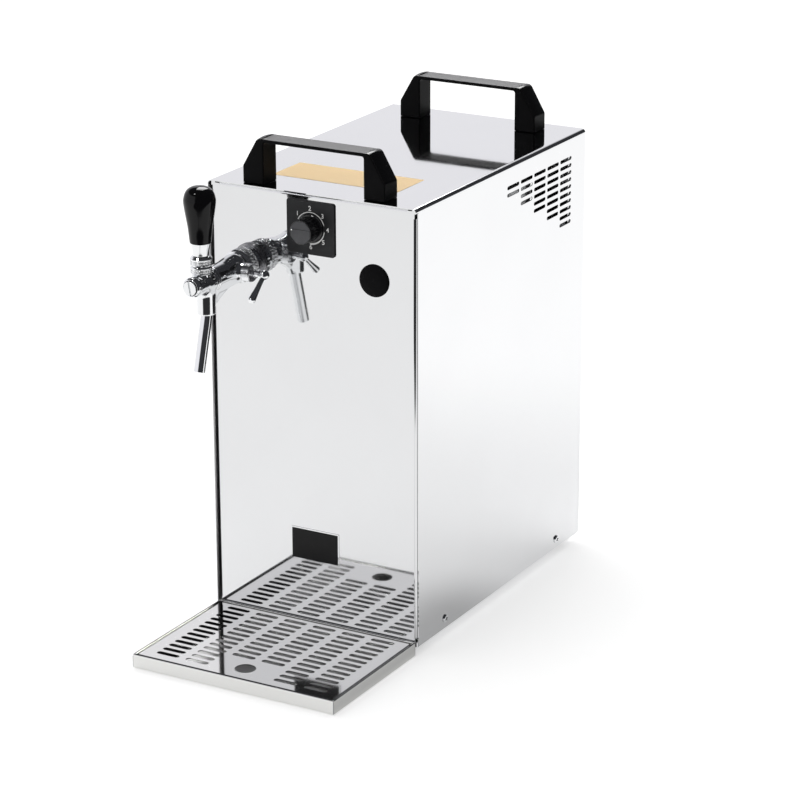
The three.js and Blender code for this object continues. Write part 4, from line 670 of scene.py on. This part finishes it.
def crowned_cap(sign):
    """A shell over the end of the bar and down its sloped shoulder, its crown rounded across."""
    half, crown, sink = 12.2, 1.1, 1.2
    course = filleted([(60.5, 47.4), (65.64, 47.4, 6), (82.4, 18.5)], 8, closed=False)
    across = [half * sin(radians(a)) for a in range(-90, 91, 15)]
    rings = []
    for i, (x, z) in enumerate(course):
        behind, ahead = course[max(i - 1, 0)], course[min(i + 1, len(course) - 1)]
        out = Vector((behind[1] - ahead[1], 0, ahead[0] - behind[0])).normalized()
        outer = [Vector((x, y, z)) + out * crown * (1 - (y / half) ** 2) for y in across]
        inner = [Vector((x, y, z)) - out * sink for y in (half, -half)]
        rings.append([(sign * p.x, p.y, p.z) for p in outer + inner])
    return loft(rings)


def make_handle(end, y):
    bridge = filleted([
        (-83, 0), (-58.5, 0), (-58.5, 43.7, 2.5), (58.5, 43.7, 2.5), (58.5, 0), (83, 0),
        (83, 17.5, 2.5), (65.64, 47.4, 5), (-65.64, 47.4, 5), (-83, 17.5, 2.5)], 5)
    bar = moved(plate(bridge, HANDLE_DEEP, edge=HANDLE_EDGE, steps=3), (0, HANDLE_DEEP, 0), (90, 0, 0))
    piece(f"handle_bridge_{end}", bar, "black_plastic", at=(0, y, HANDLE_Z), stands_for=[f"handle_{end}"])
    for side, sign in (("left", -1), ("right", 1)):
        piece(f"handle_lid_{end}_{side}", crowned_cap(sign), LID_BLACK, at=(0, y + HANDLE_DEEP / 2, HANDLE_Z),
              slot="black_plastic", stands_for=[f"handle_cap_{end}_{side}"])


make_handle("front", 4)
make_handle("rear", 329.5)


# Thermostat: printed plate, ribbed knob with an eight-sided face

def text_mesh(words, size, weight):
    """Flat lettering centred on the origin, facing +z."""
    letters = bpy.data.curves.new("letters", "FONT")
    letters.body, letters.size = words, size
    letters.align_x, letters.align_y = "CENTER", "CENTER"
    letters.extrude, letters.offset = 0.03, weight
    return mesh_from(letters)


def make_dial():
    base = moved(plate(filleted(box(28, 28, 3), 6), 1.5, [circle(0, 0, 5.1)], edge=0.35), turn=FORWARD)
    piece("dial_plate", base, "black_matt", at=(0, -0.3, DIAL_Z), stands_for=["thermostat_plate"])
    print_y, bold, light = -1.8, 0.16, 0.05
    marks = (("1", -15.1, 13.4, light), ("2", -0.6, 20.2, bold), ("3", 14.2, 13.8, light),
             ("4", 20.1, 0.2, light), ("5", 14.9, -13.3, bold), ("6", 0.2, -19.8, light))
    for words, x, z, weight in marks:
        number = moved(text_mesh(words, 6.8, weight), turn=FORWARD)
        piece(f"dial_number_{words}", number, PRINT_WHITE, at=(x, print_y, DIAL_Z + z), slot="white_tube")
    scale, radius, steps = [], 16.4, 40
    for first, last, near, far in ((152, 15, 0.5, 0.3), (-8, -92, 0.4, 1.0)):
        ring = [(first + (last - first) * i / steps, radius + near + (far - near) * i / steps)
                for i in range(steps + 1)]
        inner = [(a, 2 * radius - r) for a, r in ring[::-1]]
        outline = [(r * cos(radians(a)), r * sin(radians(a))) for a, r in [*ring, *inner]]
        scale.append(moved(plate(outline, 0.06), turn=FORWARD))
    piece("dial_scale", joined(*scale), PRINT_WHITE, at=(0, print_y, DIAL_Z), slot="white_tube")


def knob_grip():
    """A flared eight-sided grip with ribs round it, drawn along z from its skirt to its face."""
    ribs, low, high, deep, run_out = 24, 3.05, 18.6, 0.9, 1.5

    def reach(angle, z, radius):
        if z < low or z > high:
            return radius
        rib = 0.5 + 0.5 * cos(ribs * angle)
        eight = cos(pi / 8) / cos((angle + pi / 8) % (pi / 4) - pi / 8)
        return radius * (0.35 + 0.65 * eight) - deep * (1 - rib) ** 2 * min(1, (high - z) / run_out)
    rows = [(0, 0), (15, 0), (15, 2.4, 0.5), (14.2, 3.0), (13.2, 3.1)]
    rows += [(13.2 - 1.0 * i / 14, 3.1 + 15.4 * i / 14) for i in range(1, 15)]
    rows += [(12.3, 18.6), (12.5, 18.8), (12.5, 19.2), (12.2, 19.4), (0, 19.4)]
    return lathe(rows, 192, reach)


def make_knob():
    ring = [(12.1 * cos(radians(22.5 + 45 * i)), 12.1 * sin(radians(22.5 + 45 * i)), 1.6)
            for i in range(8)]
    face = plate(filleted(ring, 4), 0.5, edge=0.15)
    line, dot = plate(box(11.0, 0.2), 0.06), plate(circle(0, 0, 0.75, 20), 0.06)
    face_y, print_y = -21.45, -21.95
    for name, form, look, at, slot, nodes in (
            ("dial_knob", knob_grip(), RIBBED_BLACK, (0, -2.1, DIAL_Z), "black_plastic", ["thermostat_knob"]),
            ("dial_knob_face", face, GRIP_BLACK, (0, face_y, DIAL_Z), "black_plastic", []),
            ("dial_pointer", line, PLATE_BLACK, (0, print_y, DIAL_Z + 3.0), "black_plastic", []),
            ("dial_pointer_dot", dot, PRINT_WHITE, (-10.2, print_y, DIAL_Z + 2.0), "white_tube", [])):
        piece(name, moved(form, turn=FORWARD), look, "thermostat_dial", at=at, slot=slot, stands_for=nodes)


make_dial()
make_knob()


# Plug in the spare tap hole

plug = lathe([(0, -8), (14.7, -8), (14.7, 0.3), (17.1, 0.3), (17.1, 0.8, 0.3), (15, 1.5, 2), (9, 2.4, 4),
              (0, 2.8)], 64)
plug = moved(plug, turn=FORWARD)
piece("spare_hole_plug", plug, "black_plastic", at=(73, 0, 399.4), stands_for=["tap_hole_plug"])


# Tap: what clamps it to the panel

TAP = (-72.5, 0, 400)  # where the barrel's axis meets the panel


def tap_piece(name, form, look="chrome", **more):
    """A form turned about the barrel's axis, drawn upright."""
    piece(name, moved(form, turn=FORWARD), look, at=TAP, **more)


def knurl(teeth, depth, slant, low, high, fade=0.8):
    """A crossed knurl between two heights, as a change of radius."""
    def reach(angle, z, radius):
        hold = min(1, max(0, (z - low) / fade), max(0, (high - z) / fade))
        one = abs(sin(teeth * angle / 2 + slant * z))
        other = abs(sin(teeth * angle / 2 - slant * z))
        return radius - depth * hold * (1 - min(one, other))
    return reach


def rows_between(radius, low, high, count):
    return [(radius, low + (high - low) * i / count) for i in range(1, count)]


def make_clamping_rings():
    washer = lathe([(11.3, 0.3), (19.0, 0.3), (19.0, 2.9, 0.7), (11.3, 2.9)], 96)
    tap_piece("panel_washer", washer, "dark_nickel", stands_for=["tap_panel_washer"])
    teeth, tooth_foot, tooth_deep = 24, 6.7, 2.2

    def castle(angle, z, radius):
        tooth = (angle * teeth / (2 * pi)) % 1
        return radius if 0.24 < tooth < 0.76 or z < tooth_foot or radius < 15 else radius - tooth_deep
    rows = [(11.3, 3.2), (15.6, 3.2, 0.4), (16, 3.9), (16, 6.6), (16, 6.75), (16, 11.2), (15.7, 11.6),
            (11.3, 11.6)]
    tap_piece("castle_ring", lathe(rows, 240, castle), stands_for=["tap_notched_ring"])
    rows = [(13.1, 11.9), (16.2, 11.9), (17.5, 13.2), *rows_between(17.6, 13.4, 24.8, 26), (17.4, 25.0),
            (15.9, 26.5), (13.1, 26.5)]
    nut = lathe(rows, 320, knurl(72, 0.6, 1.7, 13.3, 24.9))
    tap_piece("knurled_union_nut", nut, KNURLED_CHROME, slot="chrome", stands_for=["tap_union_nut"])


make_clamping_rings()


# Tap body: barrel, bonnet boss, spout socket, side boss and web cast as one

SOCKET_END = -33.6  # how far the spout's socket reaches below the axis


def barrel_radius(d):
    return np.interp(d, [26.8, 28.4, 31, 33, 35, 41, 50, 56, 75, 84, 103, 112],
                     [12.8, 13.1, 14.9, 15.3, 15.1, 14.3, 12.9, 12.4, 12.4, 11.2, 10.6, 9.8])


def web_outline():
    a, b, c = Vector((31, -12)), Vector((64, -16)), Vector((77, SOCKET_END))
    curve = [a * (1 - t) ** 2 + b * 2 * t * (1 - t) + c * t * t for t in (i / 12 for i in range(13))]
    return np.array([(31, 0), (85.5, 0), (85.5, SOCKET_END), *[tuple(p) for p in curve[::-1]]])


def polygon_distance(u, v, ring):
    """Distance to a closed outline in its plane, negative inside."""
    near = np.full(u.shape, 1e9)
    inside = np.zeros(u.shape, bool)
    for (ax, ay), (bx, by) in zip(ring, np.roll(ring, -1, axis=0)):
        ex, ey = bx - ax, by - ay
        t = np.clip(((u - ax) * ex + (v - ay) * ey) / (ex * ex + ey * ey), 0, 1)
        near = np.minimum(near, np.hypot(u - ax - t * ex, v - ay - t * ey))
        crosses = (ay > v) != (by > v)
        with np.errstate(divide="ignore", invalid="ignore"):
            inside ^= crosses & (u < ex * (v - ay) / ey + ax)
    return np.where(inside, -near, near)


def rounded_rod(across, along, radius, low, high, edge):
    """A rod with rounded rims: across is the distance from its axis, along the place on it."""
    u = across - radius + edge
    v = np.maximum(low + edge - along, along - high + edge)
    return np.hypot(np.maximum(u, 0), np.maximum(v, 0)) + np.minimum(np.maximum(u, v), 0) - edge


def body_field(points):
    """x across, y forward along the barrel, z up."""
    x, d, z = points.T
    ring = web_outline()
    barrel = np.maximum(np.hypot(x, z) - barrel_radius(d), np.maximum(27 - d, d - 112))
    boss = rounded_rod(np.hypot(x, d - 93), z, 9.5, 0, 10.7, 0.5)
    socket = rounded_rod(np.hypot(x, d - 85.5), z, 9.45, SOCKET_END, 0, 0.5)
    side = rounded_rod(np.hypot(d - 38, z), x, 8.4, 0, 16.4, 0.6)
    flat = polygon_distance(d, z, ring)
    half = np.interp(z, [SOCKET_END, -8], [2.9, 7.2])
    u, v = flat + 2.2, np.abs(x) - half + 2.2
    web = np.hypot(np.maximum(u, 0), np.maximum(v, 0)) + np.minimum(np.maximum(u, v), 0) - 2.2
    whole = melted(barrel, socket, 5)
    whole = melted(whole, web, 5)
    whole = melted(whole, boss, 2.2)
    return melted(whole, side, 4)


def make_tap_body():
    skin = cast(body_field, (-17, 25, -38), (18, 114, 17), 0.8)
    skin.transform(Matrix.Diagonal((1, -1, 1, 1)))
    skin.flip_normals()
    piece("tap_cast_body", skin, "chrome", at=TAP, stands_for=["tap_body"])
    beads = []
    for start in (75.0, 78.4):
        beads.append(lathe([(10, start), (12.5, start), (13.2, start + 0.5, 0.5), (13.2, start + 2.1, 0.5),
                            (12.5, start + 2.6), (10, start + 2.6)], 80))
    tap_piece("tap_body_beads", joined(*beads))
    tap_piece("tap_body_neck", lathe([(0, 26.8), (12.75, 26.8), (12.75, 29.0), (0, 29.0)], 80))
    rim = [(8.1, 107), (10.4, 107), (10.6, 109.5, 0.6), (10.1, 112.0, 0.9), (8.6, 113.6, 0.5), (8.1, 113.2)]
    tap_piece("tap_body_rim", lathe(rim, 80))


make_tap_body()


def make_front_plug():
    """The bright screw plug in the barrel's end, its slot cut across the face, on a black seal."""
    parts = []
    half_slot, radius = 0.6, 7.4
    edge = degrees(asin(half_slot / radius))
    for sign in (1, -1):
        ring = [(x, sign * y) for x, y in arc(0, 0, radius, edge, 180 - edge, 24)]
        parts.append(moved(plate(ring, 2.0, edge=0.3), (0, 0, 113)))
    parts.append(lathe([(0, 101), (7.3, 101), (7.3, 113.2), (0, 113.2)], 64))
    tap_piece("slotted_plug", moved(joined(*parts), turn=(0, 0, 100)), stands_for=["tap_front_plug"])
    seal = lathe([(7.45, 110), (8.05, 110), (8.05, 112.8), (7.45, 112.8)], 64)
    tap_piece("plug_seal", seal, "black_plastic")


make_front_plug()


def make_spout():
    """The bent pouring tube, tapering a little to its open end."""
    path = smooth_path([(0, -85.5, -28.4), (0, -85.5, -36.4), (0, -93.2, -63.8), (0, -100.8, -91.0)], 14)
    outer = sweep(path, lambda share: circle(0, 0, 6.2 - 0.15 * share))
    inner = sweep(path, lambda share: circle(0, 0, 5.0 - 0.05 * share))
    inner.flip_normals()
    form = bmesh.new()
    form.from_mesh(outer)
    form.from_mesh(inner)
    form.edges.ensure_lookup_table()
    open_edges = [e for e in form.edges if len(e.link_faces) == 1]
    bmesh.ops.bridge_loops(form, edges=[e for e in open_edges if min(v.co.z for v in e.verts) < -85])
    form.to_mesh(outer)
    form.free()
    bpy.data.meshes.remove(inner)
    piece("pouring_spout", outer, "chrome", at=TAP, stands_for=["tap_spout"])


make_spout()


# Bonnet, and the lever that swings on its ball: lock nut, stem with its ferrule, and knob

BONNET = (-72.5, -93, 400)  # where the bonnet's axis crosses the barrel's
PIVOT = (-72.5, -93, 408)  # the middle of the ball
CUP = 15.25  # the lock nut's hollow about the pivot, just clear of the bonnet nut
KNOB_FOOT, KNOB_HIGH, KNOB_WIDE = 34.8, 57.7, 16.4  # its foot above the pivot, its height and its radius


def upright(name, rows, look, at, body="housing", stands_for=(), segments=96, reach=None, slot=None):
    piece(name, lathe(rows, segments, reach), look, body, at=at, stands_for=stands_for, slot=slot)


rows = [(8.5, 11), (10.3, 11), (11.0, 11.7), *rows_between(11.0, 11.9, 16.6, 10), (11.0, 16.8),
        (11.2, 17.2, 0.3), (10.2, 18.9, 0.5), (8.5, 18.9)]
upright("knurled_bonnet_nut", rows, KNURLED_CHROME, BONNET, stands_for=["tap_bonnet_nut"], segments=256,
        reach=knurl(60, 0.4, 2.1, 11.8, 16.7, 0.4), slot="chrome")
upright("bonnet_spigot", [(5, 10), (8.2, 10), (8.2, 15), (7.3, 15)], "chrome", BONNET)
cup = [(r, (CUP ** 2 - r ** 2) ** 0.5) for r in (3.3, 4.6, 5.8, 6.9, 7.9, 8.8, 9.6, 10.1)]
rows = [*cup, (10.6, 11.3), (11.3, 12.6), *rows_between(11.3, 12.9, 17.6, 10), (11.3, 17.9),
        (11.5, 18.3, 0.3), (9.6, 20.8, 0.6), (3.3, 20.8)]
upright("knurled_lock_nut", rows, KNURLED_CHROME, PIVOT, "tap_lever", ["tap_lever_nut"], 256,
        knurl(60, 0.4, 2.1, 12.8, 17.7, 0.4), slot="chrome")
rows = [(0, -9), (1.8, -9), (1.8, -4.3), (3.6, -2.9), (4.6, 0), (4.0, 2.3), (3, 3.6), (3, 21.1),
        (8.2, 21.1, 0.4), (8.5, 22.2), (8.9, 27.5), (10.4, 34.5, 0.3), (3, 34.5), (3, 50), (0, 50)]
upright("lever_stem", rows, "chrome", PIVOT, "tap_lever", ["tap_lever_stem"])
shares = [(0.665, 0), (0.69, 0.07), (0.77, 0.28), (0.91, 0.52), (1, 0.71), (0.97, 0.8), (0.87, 0.885),
          (0.7, 0.945), (0.42, 0.985), (0, 1)]
outline = smooth_path([Vector((KNOB_WIDE * r, KNOB_FOOT + KNOB_HIGH * h, 0)) for r, h in shares], 6)
upright("lever_knob", [(0, KNOB_FOOT), *[(max(p.x, 0), p.y) for p in outline]], "black_gloss", PIVOT,
        "tap_lever", ["tap_lever_knob"])


# Compensator: knurled collar, and the lever: a spindle, a ball and a flared rod

SIDE = (-72.5, -38, 400)  # where the compensator's axis crosses the barrel's
ACROSS = (0, 90, 0)
rows = [(3.4, 16.7), (8.6, 16.7), (9.4, 17.5), *rows_between(9.4, 17.7, 25.2, 14), (9.4, 25.4),
        (8.8, 26.3, 0.2), (7.6, 26.3, 0.2), (7.2, 24.6), (3.4, 24.6)]
collar = moved(lathe(rows, 288, knurl(72, 0.07, 0.0, 17.6, 25.3, 0.5)), turn=ACROSS)
piece("knurled_collar", collar, "satin_chrome", at=SIDE, stands_for=["compensator_collar"])


def make_compensator_lever():
    reach, radius, steps, hang = 39.5, 5.3, 20, 51
    spindle = lathe([(0, 6.4), (3, 6.4), (3, 26.6), (4.1, 26.9, 0.3), (4.1, 28.6, 0.3), (3.2, 29.6),
                     (3.2, 33), (4.4, 34.2, 0.4), (4.4, reach), (0, reach)], 48)
    ball = lathe([(radius * sin(pi * i / steps), reach - radius * cos(pi * i / steps))
                  for i in range(steps + 1)], 48)
    rod = lathe([(0, 0), (2.4, 0), (2.3, 4), (2.55, 12), (3.1, 21), (3.8, 29), (4.0, 32.2, 0.5),
                 (3.2, 33.6, 0.6), (0, 34.0)], 48)
    rod = moved(moved(rod, turn=(180 - hang, 0, 0)), (reach, 0, 0))
    form = joined(moved(spindle, turn=ACROSS), moved(ball, turn=ACROSS), rod)
    piece("compensator_arm", form, "chrome", "compensator", at=SIDE, stands_for=["compensator_lever"])


make_compensator_lever()


# Drip tray with its folded rim, and the slotted grid lying in it

TRAY_Y, TRAY_X_HALF, TRAY_Y_HALF = -83.75, 120, 83.25  # its middle, and half its width and its depth
GRID_ROWS = (13, 13, 10, 10, 13, 13)  # slots in each column


def rounded_box_ring(half_x, half_y, radius):
    ring = []
    for cx, cy, first in ((1, 1, 0), (-1, 1, 90), (-1, -1, 180), (1, -1, 270)):
        ring += arc(cx * (half_x - radius), cy * (half_y - radius), radius, first, first + 90, 4)
    return ring


def make_tray():
    """One sheet folded up all round and hemmed inward: its section is swept round the tray."""
    section = [(80, 1.0), (2.4, 1.0), (1.7, 1.25), (1.15, 1.8), (1.0, 2.6), (1.0, 10.8), (2.0, 11.0),
               (2.0, 15.0), (1.75, 15.65), (1.1, 16.0), (0.55, 15.85), (0.1, 15.3), (0, 14.6), (0, 2.0),
               (0.3, 0.9), (0.9, 0.3), (2.0, 0), (80, 0)]
    rings = []
    for inset, z in section:
        radius = max(0.25, 1.4 - inset)
        ring = rounded_box_ring(TRAY_X_HALF - inset, TRAY_Y_HALF - inset, radius)
        rings.append([(x, y, z) for x, y in ring])
    piece("tray_pan", loft(rings), TRAY_STEEL, "tray", at=(0, TRAY_Y, 0), slot="mirror_steel",
          stands_for=["drip_tray"])
    seams = [moved(plate(box(0.3, 0.3), 12.4), (119.55 * sx, 82.8 * sy, 1.6))
             for sx in (1, -1) for sy in (1, -1)]
    piece("tray_corner_seams", joined(*seams), "dark_nickel", "tray", at=(0, TRAY_Y, 0))
    bottom = plate(box(118, 81.2), 0.15)
    piece("tray_bottom", bottom, SATIN_STEEL, "tray", at=(0, TRAY_Y, 1.02), slot="mirror_steel")


def make_grid():
    holes = []
    for column, rows in enumerate(GRID_ROWS):
        for row in range(rows):
            y = -(13.2 + 11.26 * row) - TRAY_Y
            holes.append(slot_ring((column - 2.5) * 35.2, y, 27, 6.3))
    holes.append(circle(0, -140 - TRAY_Y, 11, 64))
    x, y, top = 117, 80.25, 15
    fold, relief, skirt_low = 1.8, 3.0, -13.6
    outline = four_corners([(x - fold, y - relief), (x - fold, y - fold), (x - relief, y - fold)])
    sheet = moved(plate(outline, SHEET, holes), (0, 0, top - SHEET))
    skirt = [*arc(-fold, -fold, fold, 90, 0, 6), (0, skirt_low), (-SHEET, skirt_low),
             *arc(-fold, -fold, fold - SHEET, 0, 90, 6)]
    form = joined(sheet, *flanges(x, y, relief, top, skirt, skirt))
    piece("slotted_grid", form, TRAY_STEEL, "grid", at=(0, TRAY_Y, 0), slot="mirror_steel",
          stands_for=["drip_grid"])


make_tray()
make_grid()


# Bare plate low on the front, and the bare amber label on the top

edging = plate(filleted(box(29, 18, 0.8), 3), 0.5, edge=0.1)
piece("front_plate_edge", moved(edging, turn=FORWARD), "mirror_steel", at=(0, -0.05, 100))
field = plate(filleted(box(27.6, 16.6, 0.5), 3), 0.1)
piece("front_plate_field", moved(field, turn=FORWARD), PLATE_BLACK, at=(0, -0.53, 100), slot="black_gloss")
amber = filleted([(-74, 46.5, 1), (74, 46.5, 1), (74, 101.5, 1), (-74, 101.5, 1)], 3)
piece("top_label", plate(amber, 0.12), AMBER_LABEL, at=(0, 0, 480.02), slot="white_tube")


# Casing screws and feet

for side, sign in (("left", -1), ("right", 1)):
    for end, y in (("front", 59), ("rear", 318)):
        head = lathe([(0, -7), (2, -7), (2, 0.1), (4.3, 0.1), (4.3, 0.9, 0.3), (3.4, 2.0, 1.2), (0, 2.3)], 40)
        # Painted shade: a thin black cross laid on each head stands for the shade inside its cross recess
        cross = [moved(plate(box(2.4, 0.35), 0.06), (0, 0, 2.3), (0, 0, a)) for a in (20, 110)]
        outward, spot = (0, 90 * sign, 0), (sign * WIDE, y, 21.5)
        piece(f"side_screw_{end}_{side}", moved(head, turn=outward), "chrome", at=spot,
              stands_for=[f"casing_screw_{end}_{side}"])
        piece(f"side_screw_recess_{end}_{side}", moved(joined(*cross), turn=outward), PLATE_BLACK, at=spot,
              slot="black_plastic")
    for end, y in (("front", 22), ("rear", 352)):
        foot = lathe([(0, 0), (9.6, 0), (10.5, 0, 0.8), (12, 10.2, 0.8), (3.2, 10.2), (3.2, 13.3),
                      (4.6, 13.3), (0, 16)], 48)
        piece(f"rubber_foot_{end}_{side}", foot, "rubber", at=(sign * 96, y, 0),
              stands_for=[f"foot_{end}_{side}"])


# Studio: a white floor that metal sees end in front, a pale backdrop on the left and a soft box over them

WHITE, FLOOR_WHITE = (1, 1, 1, 1), (0.9, 0.9, 0.9, 1)


def make_floor():
    half_wide, sunk = 14, 0.0004
    form = bmesh.new()
    bmesh.ops.create_grid(form, x_segments=1, y_segments=1, size=half_wide)
    mesh = bpy.data.meshes.new("floor")
    form.to_mesh(mesh)
    form.free()
    floor = bpy.data.objects.new("floor", mesh)
    floor.location = (0, 0, -sunk)
    SCENE.collection.objects.link(floor)
    material = bpy.data.materials.new("studio_floor")
    material.use_nodes = True
    tree = material.node_tree
    tree.nodes.remove(tree.nodes["Principled BSDF"])
    n = Finish(tree)
    place = n.node("NewGeometry")
    right, far = n.along(place, (1, 0, 0)), n.along(place, (0, 1, 0))
    ending = n.along(place, (0.49, -0.87, 0)).between(0.82, 0.95) * right.between(-0.36, -0.2)
    # Painted shadow: just right of the housing, in front, the floor seen in reflections is darkened towards
    # black
    painted_shadow_beside = right.between(0.11, 0.13) * (1 - right.between(0.15, 0.25)) * (1 - far.between(0.0, 0.15))
    camera_ray, glossy_ray = n.rays()
    table = n.node("BsdfDiffuse", None, FLOOR_WHITE)
    page = n.node("BsdfDiffuse", None, WHITE)
    lit = n.node("AddShader", None, page, n.node("Emission", None, WHITE, 0.4))
    # Painted glow: the floor seen in reflections gives off light of its own, stronger far behind on the right
    behind = n.along(place, (0.49, 0.87, 0)).between(0.45, 1.0)
    sheen = n.node("Emission", None, n.blend(behind, (0.38, 0.38, 0.38, 1), (0.56, 0.56, 0.56, 1)), 1.0)
    mirrored = n.node("AddShader", None, n.node("BsdfDiffuse", None, FLOOR_WHITE), sheen)
    ended = n.node("BsdfDiffuse", None, (0.04, 0.04, 0.042, 1))
    # The floor seen in reflections turns dark past its end in front, and partly dark in the painted shadow
    # beside the housing
    mirrored = n.node("MixShader", None, ending + painted_shadow_beside * 0.42, mirrored, ended)
    whole = n.node("MixShader", None, glossy_ray, table, mirrored)
    whole = n.node("MixShader", None, camera_ray, whole, lit)
    n.feed(tree.nodes["Material Output"].inputs["Surface"], whole)
    mesh.materials.append(material)


def make_room():
    """White for the camera, an even light for dull surfaces, and what the metal reflects."""
    world = bpy.data.worlds.new("room")
    SCENE.world = world
    world.use_nodes = True
    tree = world.node_tree
    n = Finish(tree)
    heading = n.node("TexCoord")
    rise = n.along(heading, (0, 0, 1))
    backdrop = n.along(heading, (-1, 0, 0)).between(-0.1, 0.12) * (1 - rise.between(0.42, 0.6))
    wall = n.blend(backdrop, (0.035, 0.036, 0.04, 1), (0.94, 0.935, 0.97, 1))
    middle = Vector((-0.15, 0.62, 0.77)).normalized()
    across = middle.cross(Vector((0, 0, 1))).normalized()
    ahead = n.along(heading, middle)
    side = (n.along(heading, across) / ahead + 0.1).size().between(0.21, 0.25)
    height = (n.along(heading, across.cross(middle)) / ahead).size().between(0.33, 0.37)
    soft_box = (1 - side) * (1 - height) * ahead.between(0.1, 0.2)
    spot = n.along(heading, Vector((-0.2055, -0.578, 0.79)).normalized()).between(0.9975, 0.9985)
    room = n.node("Background", None, wall, 1.0)
    box_light, spot_light, even, white = (
        n.node("Background", None, WHITE, strength) for strength in (12.0, 40.0, 0.62, 1.0))
    room = n.node("MixShader", None, soft_box, room, box_light)
    room = n.node("MixShader", None, spot, room, spot_light)
    camera_ray, glossy_ray = n.rays()
    seen = n.node("MixShader", None, glossy_ray, even, room)
    whole = n.node("MixShader", None, camera_ray, seen, white)
    n.feed(tree.nodes["World Output"].inputs["Surface"], whole)


def lamp(name, place, aim, size, power):
    light = bpy.data.lights.new(name, "AREA")
    light.shape, light.size, light.size_y = "RECTANGLE", *size
    light.energy = power
    holder = bpy.data.objects.new(name, light)
    holder.matrix_world = (Matrix.Translation(place)
                           @ (Vector(aim) - Vector(place)).to_track_quat("-Z", "Y").to_matrix().to_4x4())
    holder.visible_glossy = False
    SCENE.collection.objects.link(holder)


make_floor()
make_room()
lamp("soft_box", (-0.7, 1.0, 2.9), (0, 0, 0.2), (2.2, 1.6), 20)

SCENE.view_settings.view_transform = "Standard"
